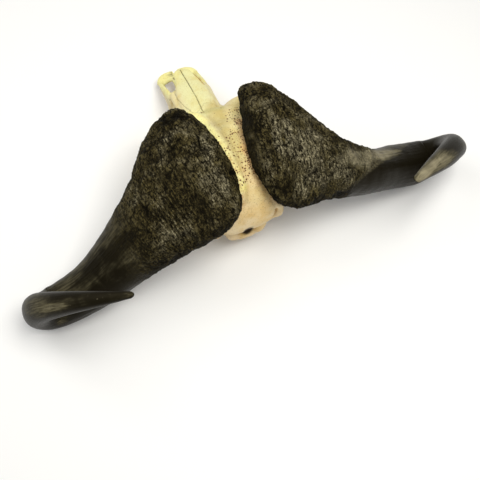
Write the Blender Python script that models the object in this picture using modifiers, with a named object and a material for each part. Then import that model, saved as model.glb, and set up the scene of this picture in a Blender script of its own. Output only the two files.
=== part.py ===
"""Cape buffalo skull: a fused cranium, two horn sheaths that close over the forehead, and twelve upper cheek teeth.

Metres, +Z up. The snout points to -Y and the animal's left is +X. The skull stands on its worn teeth and on the
lowest bend of each horn, and the origin is the middle of its box, on the surface that it stands on.
"""

import math

import bmesh
import bpy
from mathutils import Vector, noise

GAP = 0.0006  # free space between a piece and the bed or socket that it sits in
BONE_VOXEL = 0.003
BONE_TRIANGLES = 4250
HORN_RINGS = 150
HORN_SIDES = 72
HORN_TRIANGLES = 1600
LUMP_HEIGHT = 0.0048  # height of the lumps on the rough boss
LUMP_SIZE = 0.026
FURROW_DEPTH = 0.0020  # depth of the growth furrows across the boss
FURROW_SPACING = 0.030

# Horn stations, from the edge over the forehead to the tip: centre x, y, z, half length from front to rear,
# height above the centre, depth below it, and the yaw of the section in degrees.
HORN_LEFT = (
    (0.018, -0.113, 0.208, 0.042, 0.016, 0.016, 6),
    (0.025, -0.115, 0.210, 0.092, 0.038, 0.030, 6),
    (0.044, -0.119, 0.210, 0.125, 0.054, 0.038, 6),
    (0.075, -0.114, 0.207, 0.137, 0.061, 0.042, 7),
    (0.123, -0.093, 0.196, 0.126, 0.061, 0.045, 10),
    (0.184, -0.058, 0.170, 0.092, 0.056, 0.050, 14),
    (0.260, -0.032, 0.126, 0.067, 0.049, 0.050, 16),
    (0.340, -0.013, 0.077, 0.053, 0.042, 0.046, 14),
    (0.410, -0.008, 0.045, 0.047, 0.039, 0.042, 10),
    (0.452, -0.006, 0.045, 0.043, 0.035, 0.038, 4),
    (0.466, 0.003, 0.086, 0.035, 0.031, 0.031, 0),
    (0.448, 0.016, 0.136, 0.030, 0.026, 0.026, -10),
    (0.402, 0.040, 0.184, 0.023, 0.020, 0.020, -20),
    (0.338, 0.068, 0.224, 0.015, 0.013, 0.013, -22),
    (0.270, 0.093, 0.250, 0.004, 0.004, 0.004, -22),
)
HORN_RIGHT = (
    (0.044, -0.098, 0.208, 0.046, 0.016, 0.016, 9),
    (0.052, -0.120, 0.210, 0.119, 0.038, 0.030, 6),
    (0.067, -0.116, 0.210, 0.137, 0.054, 0.038, 6),
    (0.088, -0.111, 0.206, 0.136, 0.061, 0.042, 11),
    (0.118, -0.086, 0.198, 0.122, 0.061, 0.045, 12),
    (0.184, -0.039, 0.170, 0.069, 0.056, 0.050, 14),
    (0.260, -0.017, 0.126, 0.049, 0.049, 0.050, 14),
    (0.340, -0.024, 0.077, 0.049, 0.042, 0.046, 8),
    (0.410, -0.025, 0.045, 0.049, 0.039, 0.042, 4),
    (0.456, -0.026, 0.045, 0.041, 0.035, 0.038, 0),
    (0.478, -0.014, 0.086, 0.035, 0.031, 0.031, -4),
    (0.460, 0.007, 0.136, 0.027, 0.026, 0.026, -14),
    (0.406, 0.036, 0.184, 0.023, 0.020, 0.020, -22),
    (0.336, 0.064, 0.224, 0.015, 0.013, 0.013, -24),
    (0.275, 0.084, 0.250, 0.004, 0.004, 0.004, -24),
)
HORN_SQUARENESS = 2.3
HORNS_TURN = math.radians(1.1)  # the pair of horns sits a little askew on the skull
HORNS_SHIFT = -0.013
ROUGH_UNTIL = 0.40  # share of the horn's stations after which the sheath is smooth

# Bones of the cranium as bars. Each station is its centre x, y, z, half width across, height above the centre
# and depth below it. A bar away from the midline is made again on the other side.
SNOUT_BEND = 0.025  # sideways per metre of length, ahead of SNOUT_BEND_FROM, to the animal's left
SNOUT_BEND_FROM = -0.300
ACROSS_X = Vector((1, 0, 0))
ACROSS_Y = Vector((0, 1, 0))
MIDLINE_BONES = {
    "face": (ACROSS_X, 2.7, (
        (0, -0.175, 0.108, 0.070, 0.060, 0.056),
        (0, -0.235, 0.094, 0.080, 0.054, 0.056),
        (0, -0.262, 0.088, 0.077, 0.054, 0.052),
        (0, -0.288, 0.081, 0.061, 0.047, 0.050),
        (0, -0.312, 0.076, 0.053, 0.042, 0.047),
        (0, -0.340, 0.072, 0.049, 0.037, 0.044),
        (0, -0.358, 0.069, 0.048, 0.035, 0.041),
        (0, -0.371, 0.066, 0.046, 0.032, 0.038),
    )),
    "nasals": (ACROSS_X, 2.4, (
        (0, -0.212, 0.138, 0.022, 0.006, 0.010),
        (0, -0.240, 0.145, 0.030, 0.010, 0.014),
        (0, -0.265, 0.142, 0.034, 0.012, 0.014),
        (0, -0.305, 0.131, 0.038, 0.012, 0.014),
        (0, -0.350, 0.117, 0.037, 0.011, 0.008),
        (0, -0.376, 0.108, 0.032, 0.010, 0.005),
        (0, -0.396, 0.103, 0.025, 0.008, 0.004),
        (0, -0.411, 0.100, 0.020, 0.006, 0.004),
        (0, -0.421, 0.098, 0.010, 0.004, 0.003),
    )),
    "frontal": (ACROSS_X, 2.5, (
        (0, -0.282, 0.122, 0.066, 0.014, 0.040),
        (0, -0.268, 0.132, 0.090, 0.018, 0.042),
        (0, -0.244, 0.141, 0.100, 0.024, 0.044),
        (0, -0.210, 0.142, 0.101, 0.036, 0.040),
        (0, -0.165, 0.152, 0.102, 0.052, 0.042),
        (0, -0.110, 0.160, 0.102, 0.056, 0.050),
        (0, -0.070, 0.158, 0.098, 0.052, 0.050),
        (0, -0.042, 0.152, 0.090, 0.046, 0.050),
        (0, -0.022, 0.144, 0.080, 0.038, 0.050),
        (0, -0.012, 0.138, 0.070, 0.026, 0.046),
    )),
    "braincase": (ACROSS_X, 2.4, (
        (0, -0.180, 0.112, 0.050, 0.050, 0.040),
        (0, -0.120, 0.110, 0.064, 0.060, 0.048),
        (0, -0.060, 0.108, 0.078, 0.060, 0.048),
        (0, -0.030, 0.108, 0.088, 0.060, 0.042),
        (0, -0.015, 0.110, 0.080, 0.054, 0.036),
    )),
    "skull base": (ACROSS_X, 2.4, (
        (0, 0.003, 0.055, 0.020, 0.010, 0.009),
        (0, -0.016, 0.055, 0.023, 0.010, 0.010),
        (0, -0.050, 0.050, 0.027, 0.016, 0.012),
        (0, -0.100, 0.053, 0.020, 0.020, 0.012),
        (0, -0.160, 0.068, 0.014, 0.024, 0.012),
    )),
    "palate": (ACROSS_X, 3.2, (
        (0, -0.192, 0.037, 0.048, 0.010, 0.006),
        (0, -0.280, 0.033, 0.056, 0.012, 0.006),
        (0, -0.345, 0.031, 0.050, 0.012, 0.006),
        (0, -0.378, 0.030, 0.042, 0.008, 0.005),
    )),
    "nuchal crest": (ACROSS_Y, 2.0, (
        (-0.070, -0.014, 0.086, 0.008, 0.010, 0.010),
        (-0.074, -0.007, 0.112, 0.009, 0.009, 0.009),
        (-0.071, -0.009, 0.146, 0.008, 0.008, 0.008),
        (-0.040, -0.016, 0.170, 0.008, 0.008, 0.008),
        (0.000, -0.018, 0.178, 0.009, 0.008, 0.008),
        (0.040, -0.016, 0.170, 0.008, 0.008, 0.008),
        (0.071, -0.009, 0.146, 0.008, 0.008, 0.008),
        (0.079, -0.007, 0.112, 0.009, 0.009, 0.009),
        (0.074, -0.014, 0.086, 0.008, 0.010, 0.010),
    )),
    "lip over the brain stem": (ACROSS_Y, 2.0, (
        (-0.026, -0.016, 0.097, 0.008, 0.007, 0.007),
        (0.000, -0.014, 0.103, 0.011, 0.007, 0.007),
        (0.026, -0.016, 0.097, 0.008, 0.007, 0.007),
    )),
    "nuchal ridge": (ACROSS_X, 2.0, (
        (0, -0.018, 0.178, 0.014, 0.009, 0.009),
        (0, -0.010, 0.150, 0.008, 0.008, 0.008),
        (0, -0.008, 0.112, 0.006, 0.006, 0.006),
    )),
}
PAIRED_BONES = {
    "orbit": (ACROSS_Y, 2.2, (
        (0.045, -0.219, 0.112, 0.056, 0.044, 0.042),
        (0.088, -0.236, 0.117, 0.060, 0.043, 0.041),
        (0.112, -0.237, 0.118, 0.054, 0.041, 0.040),
        (0.122, -0.237, 0.118, 0.047, 0.037, 0.037),
    )),
    "horn pedicle": (ACROSS_Y, 2.3, (
        (0.060, -0.105, 0.160, 0.088, 0.030, 0.030),
        (0.100, -0.098, 0.158, 0.076, 0.026, 0.036),
        (0.126, -0.090, 0.152, 0.054, 0.018, 0.030),
        (0.140, -0.084, 0.148, 0.024, 0.010, 0.014),
    )),
    "cheek arch": (ACROSS_X, 2.2, (
        (0.070, -0.085, 0.092, 0.022, 0.016, 0.018),
        (0.104, -0.092, 0.092, 0.012, 0.013, 0.013),
        (0.122, -0.122, 0.092, 0.008, 0.013, 0.013),
        (0.121, -0.160, 0.086, 0.008, 0.014, 0.014),
        (0.112, -0.200, 0.078, 0.010, 0.017, 0.017),
        (0.092, -0.240, 0.072, 0.014, 0.021, 0.019),
        (0.066, -0.282, 0.064, 0.014, 0.020, 0.016),
    )),
    "bar behind the eye": (ACROSS_Y, 2.0, (
        (0.100, -0.176, 0.150, 0.013, 0.010, 0.010),
        (0.118, -0.178, 0.125, 0.011, 0.008, 0.008),
        (0.118, -0.180, 0.095, 0.012, 0.008, 0.008),
    )),
    "tooth bearer": (ACROSS_X, 2.8, (
        (0.041, -0.374, 0.042, 0.010, 0.014, 0.018),
        (0.042, -0.345, 0.044, 0.012, 0.020, 0.026),
        (0.046, -0.315, 0.044, 0.014, 0.024, 0.027),
        (0.052, -0.280, 0.044, 0.017, 0.030, 0.027),
        (0.053, -0.240, 0.044, 0.018, 0.030, 0.027),
        (0.051, -0.205, 0.044, 0.016, 0.024, 0.025),
        (0.046, -0.180, 0.050, 0.012, 0.016, 0.018),
    )),
    "cheek lump": (ACROSS_X, 2.0, (
        (0.066, -0.268, 0.060, 0.010, 0.010, 0.010),
        (0.064, -0.284, 0.058, 0.012, 0.012, 0.012),
        (0.053, -0.304, 0.056, 0.008, 0.008, 0.008),
    )),
    "premaxilla": (ACROSS_X, 2.3, (
        (0.043, -0.345, 0.074, 0.008, 0.026, 0.046),
        (0.043, -0.375, 0.065, 0.008, 0.023, 0.039),
        (0.043, -0.400, 0.053, 0.008, 0.018, 0.028),
        (0.043, -0.428, 0.040, 0.008, 0.010, 0.015),
        (0.042, -0.450, 0.030, 0.008, 0.006, 0.006),
    )),
    "premaxilla front": (ACROSS_Y, 2.4, (
        (0.046, -0.442, 0.030, 0.009, 0.006, 0.005),
        (0.037, -0.452, 0.030, 0.013, 0.007, 0.006),
        (0.027, -0.458, 0.029, 0.014, 0.007, 0.006),
        (0.016, -0.460, 0.028, 0.014, 0.007, 0.005),
        (0.004, -0.462, 0.028, 0.013, 0.006, 0.005),
    )),
    "palate bar": (ACROSS_X, 2.2, (
        (0.009, -0.462, 0.027, 0.006, 0.004, 0.004),
        (0.009, -0.420, 0.029, 0.006, 0.005, 0.004),
        (0.012, -0.368, 0.031, 0.011, 0.006, 0.005),
    )),
    "wing of the palate": (ACROSS_X, 2.4, (
        (0.030, -0.200, 0.056, 0.006, 0.020, 0.022),
        (0.029, -0.160, 0.066, 0.004, 0.022, 0.026),
        (0.026, -0.128, 0.070, 0.004, 0.018, 0.022),
    )),
    "ear capsule": (ACROSS_X, 2.0, (
        (0.044, -0.050, 0.052, 0.007, 0.010, 0.009),
        (0.046, -0.070, 0.048, 0.012, 0.014, 0.016),
        (0.046, -0.092, 0.052, 0.006, 0.008, 0.008),
    )),
    "ear tube": (ACROSS_Y, 2.0, (
        (0.050, -0.062, 0.072, 0.012, 0.012, 0.012),
        (0.084, -0.056, 0.086, 0.011, 0.011, 0.011),
    )),
    "throat process": (ACROSS_X, 2.0, (
        (0.064, -0.018, 0.096, 0.015, 0.014, 0.014),
        (0.060, -0.022, 0.060, 0.012, 0.008, 0.008),
        (0.056, -0.028, 0.034, 0.008, 0.006, 0.006),
        (0.053, -0.032, 0.022, 0.004, 0.004, 0.004),
    )),
    "condyle": (ACROSS_X, 2.0, (
        (0.014, -0.016, 0.056, 0.012, 0.010, 0.010),
        (0.025, -0.007, 0.066, 0.014, 0.012, 0.012),
        (0.032, -0.006, 0.082, 0.014, 0.012, 0.012),
        (0.032, -0.014, 0.099, 0.013, 0.012, 0.012),
    )),
}
OPENINGS = {
    "nose": (ACROSS_X, 2.3, (
        (0, -0.440, 0.064, 0.040, 0.026, 0.026),
        (0, -0.385, 0.068, 0.041, 0.028, 0.028),
        (0, -0.340, 0.075, 0.040, 0.034, 0.032),
        (0, -0.280, 0.082, 0.036, 0.032, 0.034),
    )),
    "brain stem": (ACROSS_X, 2.0, (
        (0, 0.040, 0.078, 0.014, 0.016, 0.012),
        (0, -0.010, 0.082, 0.015, 0.016, 0.014),
        (0, -0.060, 0.090, 0.024, 0.020, 0.018),
    )),
    "throat": (ACROSS_X, 2.2, (
        (0, -0.110, 0.046, 0.020, 0.012, 0.030),
        (0, -0.150, 0.060, 0.022, 0.016, 0.032),
        (0, -0.200, 0.062, 0.022, 0.016, 0.016),
        (0, -0.240, 0.064, 0.016, 0.014, 0.014),
    )),
}
PAIRED_OPENINGS = {
    "eye socket": (ACROSS_Y, 2.0, (
        (0.150, -0.234, 0.118, 0.038, 0.035, 0.035),
        (0.112, -0.229, 0.118, 0.034, 0.032, 0.032),
        (0.080, -0.222, 0.115, 0.028, 0.026, 0.026),
        (0.056, -0.214, 0.112, 0.012, 0.012, 0.012),
    )),
    "nerve hole": (ACROSS_Y, 2.0, (
        (0.080, -0.352, 0.056, 0.007, 0.006, 0.006),
        (0.060, -0.346, 0.060, 0.007, 0.006, 0.006),
        (0.044, -0.330, 0.066, 0.006, 0.005, 0.005),
    )),
    "muscle scar": (ACROSS_X, 2.2, (
        (0.034, 0.004, 0.164, 0.010, 0.006, 0.006),
        (0.036, -0.002, 0.142, 0.022, 0.012, 0.012),
        (0.050, -0.002, 0.120, 0.018, 0.012, 0.012),
        (0.060, 0.002, 0.100, 0.008, 0.006, 0.006),
    )),
}
# Cut after the thinning, because they are finer than the rest: the open suture between the nasals.
NASAL_SUTURE = (ACROSS_X, 2.0, (
    (0, -0.256, 0.158, 0.0006, 0.004, 0.003),
    (0, -0.270, 0.153, 0.0009, 0.004, 0.004),
    (0, -0.305, 0.143, 0.0011, 0.004, 0.004),
    (0, -0.350, 0.128, 0.0011, 0.004, 0.004),
    (0, -0.385, 0.116, 0.0012, 0.004, 0.005),
    (0, -0.404, 0.108, 0.0020, 0.008, 0.010),
    (0, -0.420, 0.100, 0.0030, 0.010, 0.012),
))
SMOOTHING = 0.5
SMOOTHING_TURNS = 6

# Upper cheek teeth, front to rear: name, length along the row, width.
TEETH = (
    ("premolar_2", 0.0175, 0.0160),
    ("premolar_3", 0.0190, 0.0190),
    ("premolar_4", 0.0180, 0.0210),
    ("molar_1", 0.0235, 0.0230),
    ("molar_2", 0.0270, 0.0240),
    ("molar_3", 0.0290, 0.0230),
)
ROW_START = -0.354  # y of the front of the first premolar
TOOTH_SPACING = 0.0005
TOOTH_TOP = 0.030
ROW_MIDDLE_X = 0.052
ROW_MIDDLE_Y = -0.262
ROW_BOW = 1.3  # how fast the row bends towards the midline at its ends, per metre
# Outlines of the teeth seen from below, as shares of length and width: along the row, and towards the cheek.
MOLAR_OUTLINE = (
    (-0.50, 0.20), (-0.46, 0.50), (-0.24, 0.38), (0.00, 0.48), (0.26, 0.37), (0.48, 0.46), (0.50, 0.10),
    (0.40, -0.38), (0.24, -0.48), (0.09, -0.38), (0.00, -0.27), (-0.09, -0.38), (-0.26, -0.50), (-0.42, -0.36),
)
PREMOLAR_OUTLINE = (
    (-0.50, 0.16), (-0.42, 0.46), (-0.12, 0.40), (0.10, 0.50), (0.40, 0.44), (0.50, 0.16),
    (0.42, -0.30), (0.18, -0.50), (-0.18, -0.50), (-0.42, -0.30),
)


def clear_scene():
    """Removes every object that the scene starts with."""
    for thing in list(bpy.data.objects):
        bpy.data.objects.remove(thing, do_unlink=True)


def collection_named(name, hidden=False):
    """A new collection in the scene."""
    made = bpy.data.collections.new(name)
    bpy.context.scene.collection.children.link(made)
    made.hide_render = hidden
    return made


def material_named(name, colour, roughness):
    """A plain material with the colour and gloss of the real surface."""
    made = bpy.data.materials.new(name)
    made.use_nodes = True
    shader = made.node_tree.nodes["Principled BSDF"]
    shader.inputs["Base Color"].default_value = (*colour, 1.0)
    shader.inputs["Roughness"].default_value = roughness
    shader.inputs["Metallic"].default_value = 0.0
    return made


def object_from(mesh_builder, name, collection, material=None):
    """A new object that holds what a bmesh holds, with its faces pointing out."""
    bmesh.ops.recalc_face_normals(mesh_builder, faces=mesh_builder.faces)
    mesh = bpy.data.meshes.new(name)
    mesh_builder.to_mesh(mesh)
    mesh_builder.free()
    made = bpy.data.objects.new(name, mesh)
    collection.objects.link(made)
    if material:
        mesh.materials.append(material)
    return made


def spline_rows(stations, count):
    """Rows on a smooth curve through the stations, spread evenly over them."""
    rows = [[float(value) for value in station] for station in stations]
    first = [2 * a - b for a, b in zip(rows[0], rows[1])]
    last = [2 * a - b for a, b in zip(rows[-1], rows[-2])]
    rows = [first, *rows, last]
    spans = len(stations) - 1
    made = []
    for index in range(count):
        place = index / (count - 1) * spans
        span = min(int(place), spans - 1)
        t = place - span
        made.append([
            0.5 * (2 * b + (c - a) * t + (2 * a - 5 * b + 4 * c - d) * t * t + (3 * b - a - 3 * c + d) * t ** 3)
            for a, b, c, d in zip(*rows[span:span + 4])
        ])
    return made


def section_point(angle, squareness):
    """Point of a rounded section at an angle, as shares of its half sizes."""
    c = math.cos(angle)
    s = math.sin(angle)
    reach = (abs(c) ** squareness + abs(s) ** squareness) ** (-1 / squareness)
    return reach * c, reach * s


def skin_rings(builder, rings):
    """Joins rings of points into one closed tube with capped ends."""
    loops = [[builder.verts.new(point) for point in ring] for ring in rings]
    sides = len(loops[0])
    for near, far in zip(loops, loops[1:]):
        for i in range(sides):
            j = (i + 1) % sides
            builder.faces.new((near[i], near[j], far[j], far[i]))
    for loop in (loops[0], loops[-1]):
        middle = builder.verts.new(sum((vertex.co for vertex in loop), Vector()) / sides)
        for i in range(sides):
            builder.faces.new((loop[i], loop[(i + 1) % sides], middle))


def centre_directions(rows):
    """Direction of the curve at each row."""
    points = [Vector(row[:3]) for row in rows]
    last = len(points) - 1
    return [(points[min(i + 1, last)] - points[max(i - 1, 0)]).normalized() for i in range(last + 1)]


def bar_rings(stations, across, squareness, mirrored, sides=20, steps=5):
    """Rings of a bone bar; across is the direction of its width."""
    rows = spline_rows(stations, (len(stations) - 1) * steps + 1)
    side = -1 if mirrored else 1
    rings = []
    for row, along in zip(rows, centre_directions(rows)):
        wide = (across - along * across.dot(along)).normalized()
        tall = wide.cross(along)
        if tall.z < 0:
            tall = -tall
        ring = []
        for i in range(sides):
            c, s = section_point(2 * math.pi * i / sides, squareness)
            height = row[4] if s > 0 else row[5]
            point = Vector(row[:3]) + wide * c * row[3] + tall * s * height
            bend = SNOUT_BEND * max(0.0, SNOUT_BEND_FROM - point.y)
            ring.append((side * point.x + bend, point.y, point.z))
        rings.append(ring)
    return rings


def add_bars(builder, midline, paired):
    """Adds the bars on the midline once, and the others on both sides."""
    for across, squareness, stations in midline.values():
        skin_rings(builder, bar_rings(stations, across, squareness, mirrored=False))
    for across, squareness, stations in paired.values():
        for mirrored in (False, True):
            skin_rings(builder, bar_rings(stations, across, squareness, mirrored))


def boss_relief(point, share):
    """Height of the lumps and growth furrows of a sheath at a point; share runs from its inner edge to its tip."""
    rough = max(0.0, min(1.0, (ROUGH_UNTIL - share) / 0.16))
    lumps = noise.fractal(point / LUMP_SIZE, 0.9, 2.1, 3)
    wander = 5.0 * noise.noise(point / 0.07)
    furrow = 0.5 + 0.5 * math.cos(2 * math.pi * (abs(point.x) + 0.3 * point.y) / FURROW_SPACING + wander)
    return rough * (LUMP_HEIGHT * lumps - FURROW_DEPTH * furrow ** 4)


def set_askew(point):
    """Turns and shifts a point of the horns to where the pair really sits on the skull."""
    x, y, z = point
    c = math.cos(HORNS_TURN)
    s = math.sin(HORNS_TURN)
    return c * x - s * y + HORNS_SHIFT, s * x + c * y, z


def horn_rings(stations, side):
    """Rings of a horn sheath. side is 1 on the animal's left."""
    rows = spline_rows(stations, HORN_RINGS)
    rings = []
    for index, (row, along) in enumerate(zip(rows, centre_directions(rows))):
        yaw = math.radians(row[6])
        forward = Vector((math.sin(yaw), -math.cos(yaw), 0))
        out = (along - forward * along.dot(forward)).normalized()
        up = forward.cross(out)
        centre = Vector(row[:3])
        ring = []
        for i in range(HORN_SIDES):
            c, s = section_point(2 * math.pi * i / HORN_SIDES, HORN_SQUARENESS)
            offset = forward * c * row[3] + up * s * (row[4] if s > 0 else row[5])
            relief = boss_relief(centre + offset, index / (HORN_RINGS - 1))
            point = centre + offset + offset.normalized() * relief
            ring.append(set_askew((side * point.x, point.y, point.z)))
        rings.append(ring)
    return rings


def thin_horn(horn):
    """Thins a dense sheath; the triangles stay small where the surface is lumpy."""
    dense = count_triangles(horn)
    add_modifier(horn, "DECIMATE", "thin", ratio=HORN_TRIANGLES / dense)
    add_modifier(horn, "TRIANGULATE", "triangles")


def make_horn(name, stations, side, collection, material):
    """One keratin sheath, from its rough boss over the forehead to its smooth tip."""
    builder = bmesh.new()
    skin_rings(builder, horn_rings(stations, side))
    horn = object_from(builder, name, collection, material)
    horn.data.shade_smooth()
    thin_horn(horn)
    return horn


def make_horn_bed(name, stations, side, collection):
    """Cutter: a sheath that is wider by the gap, which leaves its bed in the cranium."""
    builder = bmesh.new()
    skin_rings(builder, horn_rings(stations, side))
    bed = cutter_from(builder, name, collection)
    thin_horn(bed)
    add_modifier(bed, "DISPLACE", "gap", strength=GAP, mid_level=0.0)
    return bed


def cutter_from(builder, name, collection):
    """A hidden wire object that cuts others."""
    made = object_from(builder, name, collection)
    made.hide_render = True
    made.display_type = "WIRE"
    return made


def tooth_places():
    """Name, centre x, centre y, length and width of each tooth of the left row, front to rear."""
    y = ROW_START
    places = []
    for name, length, width in TEETH:
        centre = y + length / 2
        x = ROW_MIDDLE_X - ROW_BOW * (centre - ROW_MIDDLE_Y) ** 2
        places.append((name, x, centre, length, width))
        y += length + TOOTH_SPACING
    return places


def tooth_rings(place, side, grow=0.0):
    """Rings of one tooth, from its flat worn face to its top inside the bone."""
    name, x, y, length, width = place
    outline = MOLAR_OUTLINE if name.startswith("molar") else PREMOLAR_OUTLINE
    rings = []
    for level in (-grow, TOOTH_TOP + grow):
        rings.append([
            (side * (x + across * (width + 2 * grow)), y + along * (length + 2 * grow), level)
            for along, across in outline
        ])
    return rings


def make_teeth(collection, material):
    """All twelve cheek teeth."""
    for side, side_name in ((1, "left"), (-1, "right")):
        for place in tooth_places():
            builder = bmesh.new()
            skin_rings(builder, tooth_rings(place, side))
            tooth = object_from(builder, f"{place[0]}_{side_name}", collection, material)
            tooth.data.shade_smooth()
            tooth.data.set_sharp_from_angle(angle=math.radians(40))


def make_tooth_sockets(collection):
    """Cutter: every tooth, wider by the gap."""
    builder = bmesh.new()
    for side in (1, -1):
        for place in tooth_places():
            skin_rings(builder, tooth_rings(place, side, GAP))
    return cutter_from(builder, "tooth_sockets", collection)


def add_modifier(target, kind, name, **settings):
    """Adds a modifier and sets its values."""
    modifier = target.modifiers.new(name, kind)
    for key, value in settings.items():
        setattr(modifier, key, value)
    return modifier


def make_suture_cutter(collection):
    """Cutter: the open suture along the middle of the nasals."""
    builder = bmesh.new()
    across, squareness, stations = NASAL_SUTURE
    skin_rings(builder, bar_rings(stations, across, squareness, mirrored=False, sides=8, steps=2))
    return cutter_from(builder, "nasal_suture", collection)


def make_cranium(collection, cutters, material):
    """The fused bones: bars blended into one body, then opened, thinned and cut for the horns and teeth."""
    builder = bmesh.new()
    add_bars(builder, MIDLINE_BONES, PAIRED_BONES)
    cranium = object_from(builder, "cranium", collection, material)

    hollow = bmesh.new()
    add_bars(hollow, OPENINGS, PAIRED_OPENINGS)
    openings = cutter_from(hollow, "skull_openings", cutters)

    add_modifier(cranium, "REMESH", "blend", mode="VOXEL", voxel_size=BONE_VOXEL)
    add_modifier(cranium, "BOOLEAN", "open", operation="DIFFERENCE", object=openings)
    add_modifier(cranium, "REMESH", "even", mode="VOXEL", voxel_size=BONE_VOXEL)
    add_modifier(cranium, "SMOOTH", "soften", factor=SMOOTHING, iterations=SMOOTHING_TURNS)
    dense = count_triangles(cranium)
    add_modifier(cranium, "DECIMATE", "thin", ratio=BONE_TRIANGLES / dense)
    for name, stations, side in (("left", HORN_LEFT, 1), ("right", HORN_RIGHT, -1)):
        bed = make_horn_bed(f"horn_bed_{name}", stations, side, cutters)
        add_modifier(cranium, "BOOLEAN", f"{name} bed", operation="DIFFERENCE", object=bed)
    for cutter in (make_tooth_sockets(cutters), make_suture_cutter(cutters)):
        add_modifier(cranium, "BOOLEAN", cutter.name, operation="DIFFERENCE", object=cutter, use_self=True)
    return cranium


def count_triangles(target):
    """Triangles of an object's mesh with its modifiers."""
    bpy.context.view_layer.update()
    evaluated = target.evaluated_get(bpy.context.evaluated_depsgraph_get())
    return sum(len(face.vertices) - 2 for face in evaluated.data.polygons)


def stand_on_floor(objects):
    """Moves everything so that the origin is the middle of the box of the parts, at its lowest level."""
    bpy.context.view_layer.update()
    graph = bpy.context.evaluated_depsgraph_get()
    corners = []
    for thing in objects:
        if not thing.hide_render:
            corners += [Vector(corner) for corner in thing.evaluated_get(graph).bound_box]
    low = Vector(min(corner[axis] for corner in corners) for axis in range(3))
    high = Vector(max(corner[axis] for corner in corners) for axis in range(3))
    shift = Vector((-(low.x + high.x) / 2, -(low.y + high.y) / 2, -low.z))
    for thing in objects:
        thing.location = thing.location + shift


def main():
    clear_scene()
    parts = collection_named("Cape buffalo skull")
    cutters = collection_named("Cutters", hidden=True)
    bone = material_named("bone", (0.72, 0.60, 0.36), 0.62)
    keratin = material_named("horn", (0.022, 0.018, 0.011), 0.48)
    enamel = material_named("tooth", (0.60, 0.50, 0.32), 0.35)

    make_cranium(parts, cutters, bone)
    make_horn("horn_left", HORN_LEFT, 1, parts, keratin)
    make_horn("horn_right", HORN_RIGHT, -1, parts, keratin)
    make_teeth(parts, enamel)
    stand_on_floor([*parts.objects, *cutters.objects])


main()
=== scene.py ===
"""Cape buffalo skull: the looks of its cranium, its two horn sheaths and its upper cheek teeth.

Metres, +Z up, in the row frame. The skull's own numbers are in the skull's frame: x = 0 is its midline, the
snout points to -Y, and z = 0 is the plane of the worn teeth. SKULL_AT carries them to the row frame.
"""

from __future__ import annotations

import itertools
import logging
import math
from dataclasses import dataclass, field
from enum import Enum

import bmesh
import bpy
import numpy as np
from mathutils import Matrix, Vector, noise
from mathutils.bvhtree import BVHTree


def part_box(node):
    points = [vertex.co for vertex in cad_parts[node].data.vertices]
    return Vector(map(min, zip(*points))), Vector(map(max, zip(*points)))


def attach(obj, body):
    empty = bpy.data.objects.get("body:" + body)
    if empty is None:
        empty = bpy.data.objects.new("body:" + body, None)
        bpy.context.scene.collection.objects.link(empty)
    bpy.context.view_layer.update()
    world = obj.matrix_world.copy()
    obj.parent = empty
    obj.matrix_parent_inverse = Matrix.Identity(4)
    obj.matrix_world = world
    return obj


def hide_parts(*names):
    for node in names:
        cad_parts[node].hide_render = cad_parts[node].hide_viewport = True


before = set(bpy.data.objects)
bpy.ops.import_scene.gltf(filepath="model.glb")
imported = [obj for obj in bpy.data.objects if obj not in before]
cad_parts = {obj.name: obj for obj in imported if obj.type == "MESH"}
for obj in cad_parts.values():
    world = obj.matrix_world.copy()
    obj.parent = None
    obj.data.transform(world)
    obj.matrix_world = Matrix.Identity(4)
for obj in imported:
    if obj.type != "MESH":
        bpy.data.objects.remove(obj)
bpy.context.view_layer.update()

log = logging.getLogger("buffalo_skull")

Triple = tuple[float, float, float]
Colour = Triple
Stations = tuple[tuple[float, ...], ...]
MOLAR_MIDDLE_Y = -0.2605  # y of the middle of the second molars in the skull's frame
FAR = 9.0  # further than any distance that is looked for


def find_skull() -> Vector:
    """Place of the skull's own origin in the row frame, read from the second molars.

    Returns:
        The origin, on the floor.
    """
    middles = []
    for side in ("left", "right"):
        low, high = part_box(f"molar_2_{side}")
        middles.append((low + high) / 2)
    middle = (middles[0] + middles[1]) / 2
    return Vector((middle.x, middle.y - MOLAR_MIDDLE_Y, 0.0))


SKULL_AT = find_skull()
SKULL_OFFSET = np.array(SKULL_AT)


class Side(Enum):
    """Side of the animal, with the sign of x there."""

    LEFT = 1
    RIGHT = -1


class Seen(Enum):
    """View that a line on the bone is drawn in: the axis left out, and the sign of the normals it sees."""

    TOP = (2, 1)
    UNDER = (2, -1)
    LEFT = (0, 1)
    RIGHT = (0, -1)
    REAR = (1, 1)


# Noise


@dataclass(frozen=True)
class Scramble:
    """Fixed numbers that turn a cell's place in a grid into a number that looks random."""

    factors: tuple[int, int, int]
    seed_factor: int
    shift: int
    last_factor: int
    kept_bits: int

    def mixed(self, cell: np.ndarray, seed: int) -> np.ndarray:
        """Numbers of some cells.

        Args:
            cell: N x 3 whole numbers.
            seed: Fixed seed.

        Returns:
            N whole numbers.
        """
        x, y, z = self.factors
        total = (cell[:, 0] * x) ^ (cell[:, 1] * y) ^ (cell[:, 2] * z) ^ (seed * self.seed_factor)
        return (total ^ (total >> self.shift)) * self.last_factor & self.kept_bits


LATTICE = Scramble((73856093, 19349663, 83492791), 2654435761, 13, 1274126177, 0x7FFFFFFF)
SPOTS = Scramble((374761393, 668265263, 2147483647), 97, 15, 2246822519, 0xFFFFFFFF)
OCTAVE_STEP = 2.03  # how much finer each layer of noise is than the one before
OCTAVE_SEEDS = 17


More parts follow.
